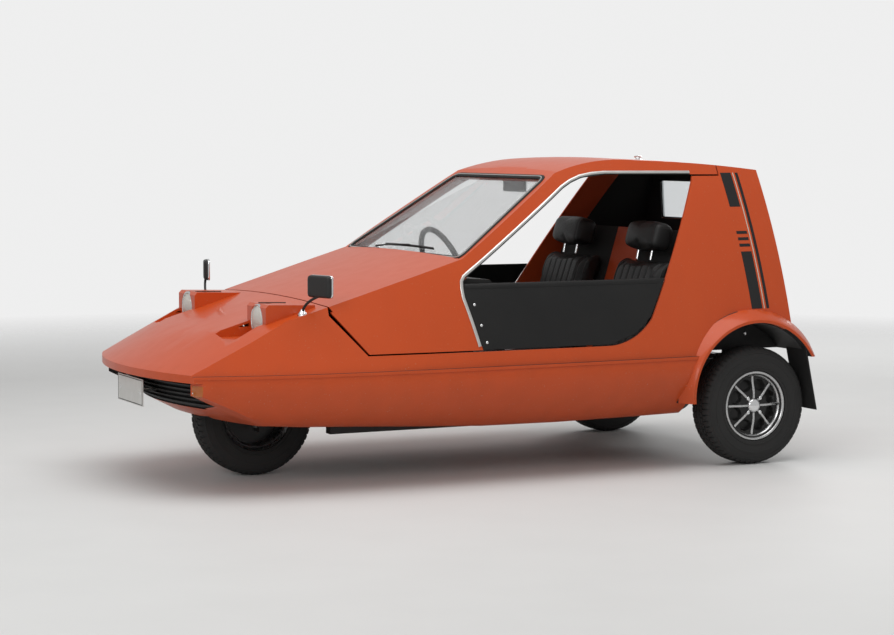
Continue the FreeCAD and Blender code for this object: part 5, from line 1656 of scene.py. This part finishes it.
# %% Rear window rubber, lock, pull and plate lamps
WINDOW = oblong(0, 0.368, 0.982, 1.163)
WINDOW_FROM_X = 1.15
LOCK_Z = 0.842
LOCK = (
    (0.0001, 0.0040), (0.0060, 0.0040), (0.0068, 0.0056), (0.0100, 0.0056), (0.0150, 0.0030),
    (0.0165, 0.0), (0.0165, -0.002), (0.0001, -0.002),
)
PLATE_LAMP_Y = 0.085
PLATE_LAMP_RISE = 0.020
PULL_Y = 0.060
PULL_Z = 0.575
PULL = (
    # distance off the lid, place across
    (-0.004, -0.046), (0.008, -0.044), (0.013, -0.034), (0.014, 0.0), (0.013, 0.034),
    (0.008, 0.044), (-0.004, 0.046),
)
around = spaced(rounded(WINDOW, radius=0.020), gap=0.03, closed=True)
answers = [from_end("rear_body", point.y, point.z) for point in around]
path, ways = met(answers, lambda point: point.x > WINDOW_FROM_X)
seal = Gather().ribbon(path, ways, width=0.020, thick=0.0045, closed=True)
seal.piece("rear_window_rubber", rubber, "body", smooth=50)
at, out = from_end("boot_lid", 0.0, LOCK_Z)
on_lid = Matrix.Translation(at) @ Matrix.Rotation(-math.asin(out.z), 4, "Y")
lock = Gather().turned(LOCK, axis="X", steps=40).moved(on_lid)
lock.piece("lid_lock", chrome, "boot_lid", smooth=40)
slot = Gather().block((0.0038, -0.0010, -0.0042), (0.0046, 0.0010, 0.0042)).moved(on_lid)
slot.piece("lid_lock_slot", dial_black, "boot_lid")
at, _ = from_end("boot_lid", PULL_Y, PULL_Z)
pull = Gather().swept([(at.x + off, y, PULL_Z) for off, y in PULL], radius=0.0042, sides=14)
pull.piece("lid_pull", chrome, "boot_lid", smooth=60)
low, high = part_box("rear_plate")
for name, side in SIDES.items():
    at, _ = from_end("boot_lid", side * PLATE_LAMP_Y, high[2] + PLATE_LAMP_RISE)
    housing = box_at(at, (-0.003, -0.022, -0.010), (0.016, 0.022, 0.008))
    housing.piece("plate_lamp_" + name, chrome, "boot_lid", ease=0.0035, segments=3)
    lens = box_at(at, (0.001, -0.017, -0.0125), (0.013, 0.017, -0.009))
    lens.piece("plate_lamp_lens_" + name, lamp_lens, "boot_lid", ease=0.001)
print("rear window rubber:", len(path), "points")

# %% [markdown]
# ## Straps, ribs and bolts
# Last come small things low on the car: steel bands that hold the silencer, ribs moulded on the
# mud flaps, and bolt heads inside the wheel arches. A bump could hint at them, but they stand
# out of the outline from behind, so bands and heads are turned and ribs are laid as strips.

# %% Exhaust straps, flap ribs and arch bolts
SILENCER_X = 1.268
SILENCER_Z = 0.296
STRAPS = (-0.222, -0.120, 0.120, 0.222)
BAND = (
    (0.0440, -0.0075), (0.0480, -0.0070), (0.0480, 0.0070), (0.0440, 0.0075), (0.0440, -0.0075),
)
RIBS = 6
FIRST_RIB = 0.030
RIB_STEP = 0.022
RIB_LINE = (0.560, 0.590, 0.620, 0.645)
BOLTS = ((1.020, 0.520), (1.185, 0.528))
BOLT = ((0.0001, 0.0042), (0.0060, 0.0036), (0.0095, 0.0), (0.0001, -0.001))
straps = Gather()
for y in STRAPS:
    straps.turned(BAND, (SILENCER_X, y, SILENCER_Z), steps=48)
straps.piece("silencer_straps", steel, "body")
ribs = Gather()
bolts = Gather()
low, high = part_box("mud_flaps")
for side in SIDES.values():
    for k in range(RIBS):
        z = low[2] + FIRST_RIB + RIB_STEP * k
        path, ways = met([from_end("mud_flaps", side * y, z) for y in RIB_LINE])
        if len(path) > 1:
            ribs.ribbon(path, ways, width=0.007, thick=0.0030)
    for at in met([from_side("wheel_houses_rear", x, z, side) for x, z in BOLTS])[0]:
        bolts.turned(flipped(BOLT, side), at, steps=24)
ribs.piece("mud_flap_ribs", rubber, "body")
bolts.piece("arch_bolts", chrome, "body")
print(len(STRAPS), "straps and", RIBS, "ribs on each flap")

# %% [markdown]
# ## The solids that remain
# Glass panes and the steering column are right as packed and only take a finish. The working
# parts underneath get eased edges like the panels, apart from the exhaust, whose pipes are
# round already. They need nothing of their own, so one table lists them.

# %% Finish the solids that remain
STAYING = {"windscreen": pane, "rear_window": pane, "steering_column": chassis_paint}
EASED = (
    # node, finish, edge radius
    ("hinge_arms", steel, 0.0010),
    ("hinge_brackets", steel, 0.0010),
    ("nose_grille", moulding, 0.0015),
    ("mud_flaps", rubber, 0.0015),
    ("wheel_house_front", moulding, 0.0020),
    ("wheel_houses_rear", moulding, 0.0020),
    ("footwell_moulding", carpet, 0.0030),
    ("rear_bulkhead", bulkhead_lining, 0.0020),
    ("luggage_floor", carpet, 0.0020),
    ("seat_bases", moulding, 0.0020),
    ("chassis_frame", chassis_paint, 0.0020),
    ("engine_block", casting, 0.0030),
    ("exhaust", silencer_steel, 0.0),
    ("rear_axle", chassis_paint, 0.0010),
    ("front_arm", chassis_paint, 0.0010),
    ("front_spring", spring_paint, 0.0008),
    ("front_knuckle", casting, 0.0008),
)
for node, finish in STAYING.items():
    for holder in nodes[node].material_slots:
        holder.material = finish.material
for row in EASED:
    dressed(*row)
print(len(STAYING), "solids keep their own mesh")

# %% [markdown]
# ## Floor and light
# The car stands on a pale studio floor under soft light. The floor thins out with distance so
# that no horizon shows, and the world is brighter to the camera and through glass than as a
# light, so that the paint isn't washed out. Three soft boxes give the long highlights.

# %% Stage
FLOOR_RADIUS = 16.0
FLOOR_ENDS = 8.5
FLOOR_FADES_OVER = 4.5
LAMPS = (
    # name, place, aim, size, power in watts
    ("overhead", (-0.5, -0.8, 5.0), (0, 0, 0.4), (6.0, 4.0), 175),
    ("front_left", (-5.0, -5.0, 3.2), (0, 0, 0.5), (3.0, 2.0), 95),
    ("rear_right", (5.0, 4.0, 3.0), (0, 0, 0.5), (3.0, 2.0), 70),
)
matt = Finish("studio_floor", "plate_white", Roughness=0.6, Specular_IOR_Level=0.2)
length_of = {"operation": "LENGTH"}
away = matt.node("ShaderNodeVectorMath", length_of, {0: matt.place()}, output="Value")
matt.set(
    Base_Color=matt.blend(matt.noise(3.0, 6.0), rgb(0.70, 0.70, 0.69), rgb(0.74, 0.74, 0.73)),
    Alpha=((FLOOR_ENDS - away) / FLOOR_FADES_OVER).kept_in_unit(),
)
floor_mesh = bmesh.new()
bmesh.ops.create_circle(floor_mesh, cap_ends=True, segments=96, radius=FLOOR_RADIUS)
floor_data = bpy.data.meshes.new("studio_floor")
floor_mesh.to_mesh(floor_data)
floor_mesh.free()
floor_data.materials.append(matt.material)
linked("studio_floor", floor_data)

scene.view_settings.view_transform = "Standard"
scene.world = bpy.data.worlds.new("studio")
backdrop = Wiring(scene.world, "Background")
by_camera, by_mirror, by_glass = (
    backdrop.node("ShaderNodeLightPath", output="Is %s Ray" % kind)
    for kind in ("Camera", "Glossy", "Transmission")
)
seen = (by_camera + by_glass + 0.35 * by_mirror).kept_in_unit()
backdrop.set(Color=rgb(1.0, 1.0, 1.0), Strength=0.40 + 0.46 * seen)


def facing(made, place, aim):
    """Puts a lamp or a camera at a place and turns it to its aim."""
    made.location = place
    made.rotation_euler = (Vector(aim) - Vector(place)).to_track_quat("-Z", "Y").to_euler()
    return made


for name, place, aim, size, power in LAMPS:
    lamp = bpy.data.lights.new(name, "AREA")
    lamp.shape = "RECTANGLE"
    lamp.size, lamp.size_y = size
    lamp.energy = power
    facing(linked(name, lamp), place, aim)
print(len(LAMPS), "soft boxes and a fading floor")

# %% [markdown]
# ## Camera
# The camera stands where the photograph was taken from: at chest height, ahead of the car's
# left side and well back, with a long lens, so that the near wheels don't swell.

# %% Camera
CAMERA_AT = (-4.10, -8.54, 1.34)
AIM = (0.02, 0.0, 0.60)
view = bpy.data.cameras.new("photo_view")
view.lens = 92.0
view.sensor_width = 36.0
scene.camera = facing(linked("photo_view", view), CAMERA_AT, AIM)
print("camera", round((Vector(AIM) - Vector(CAMERA_AT)).length, 2), "m from its aim")
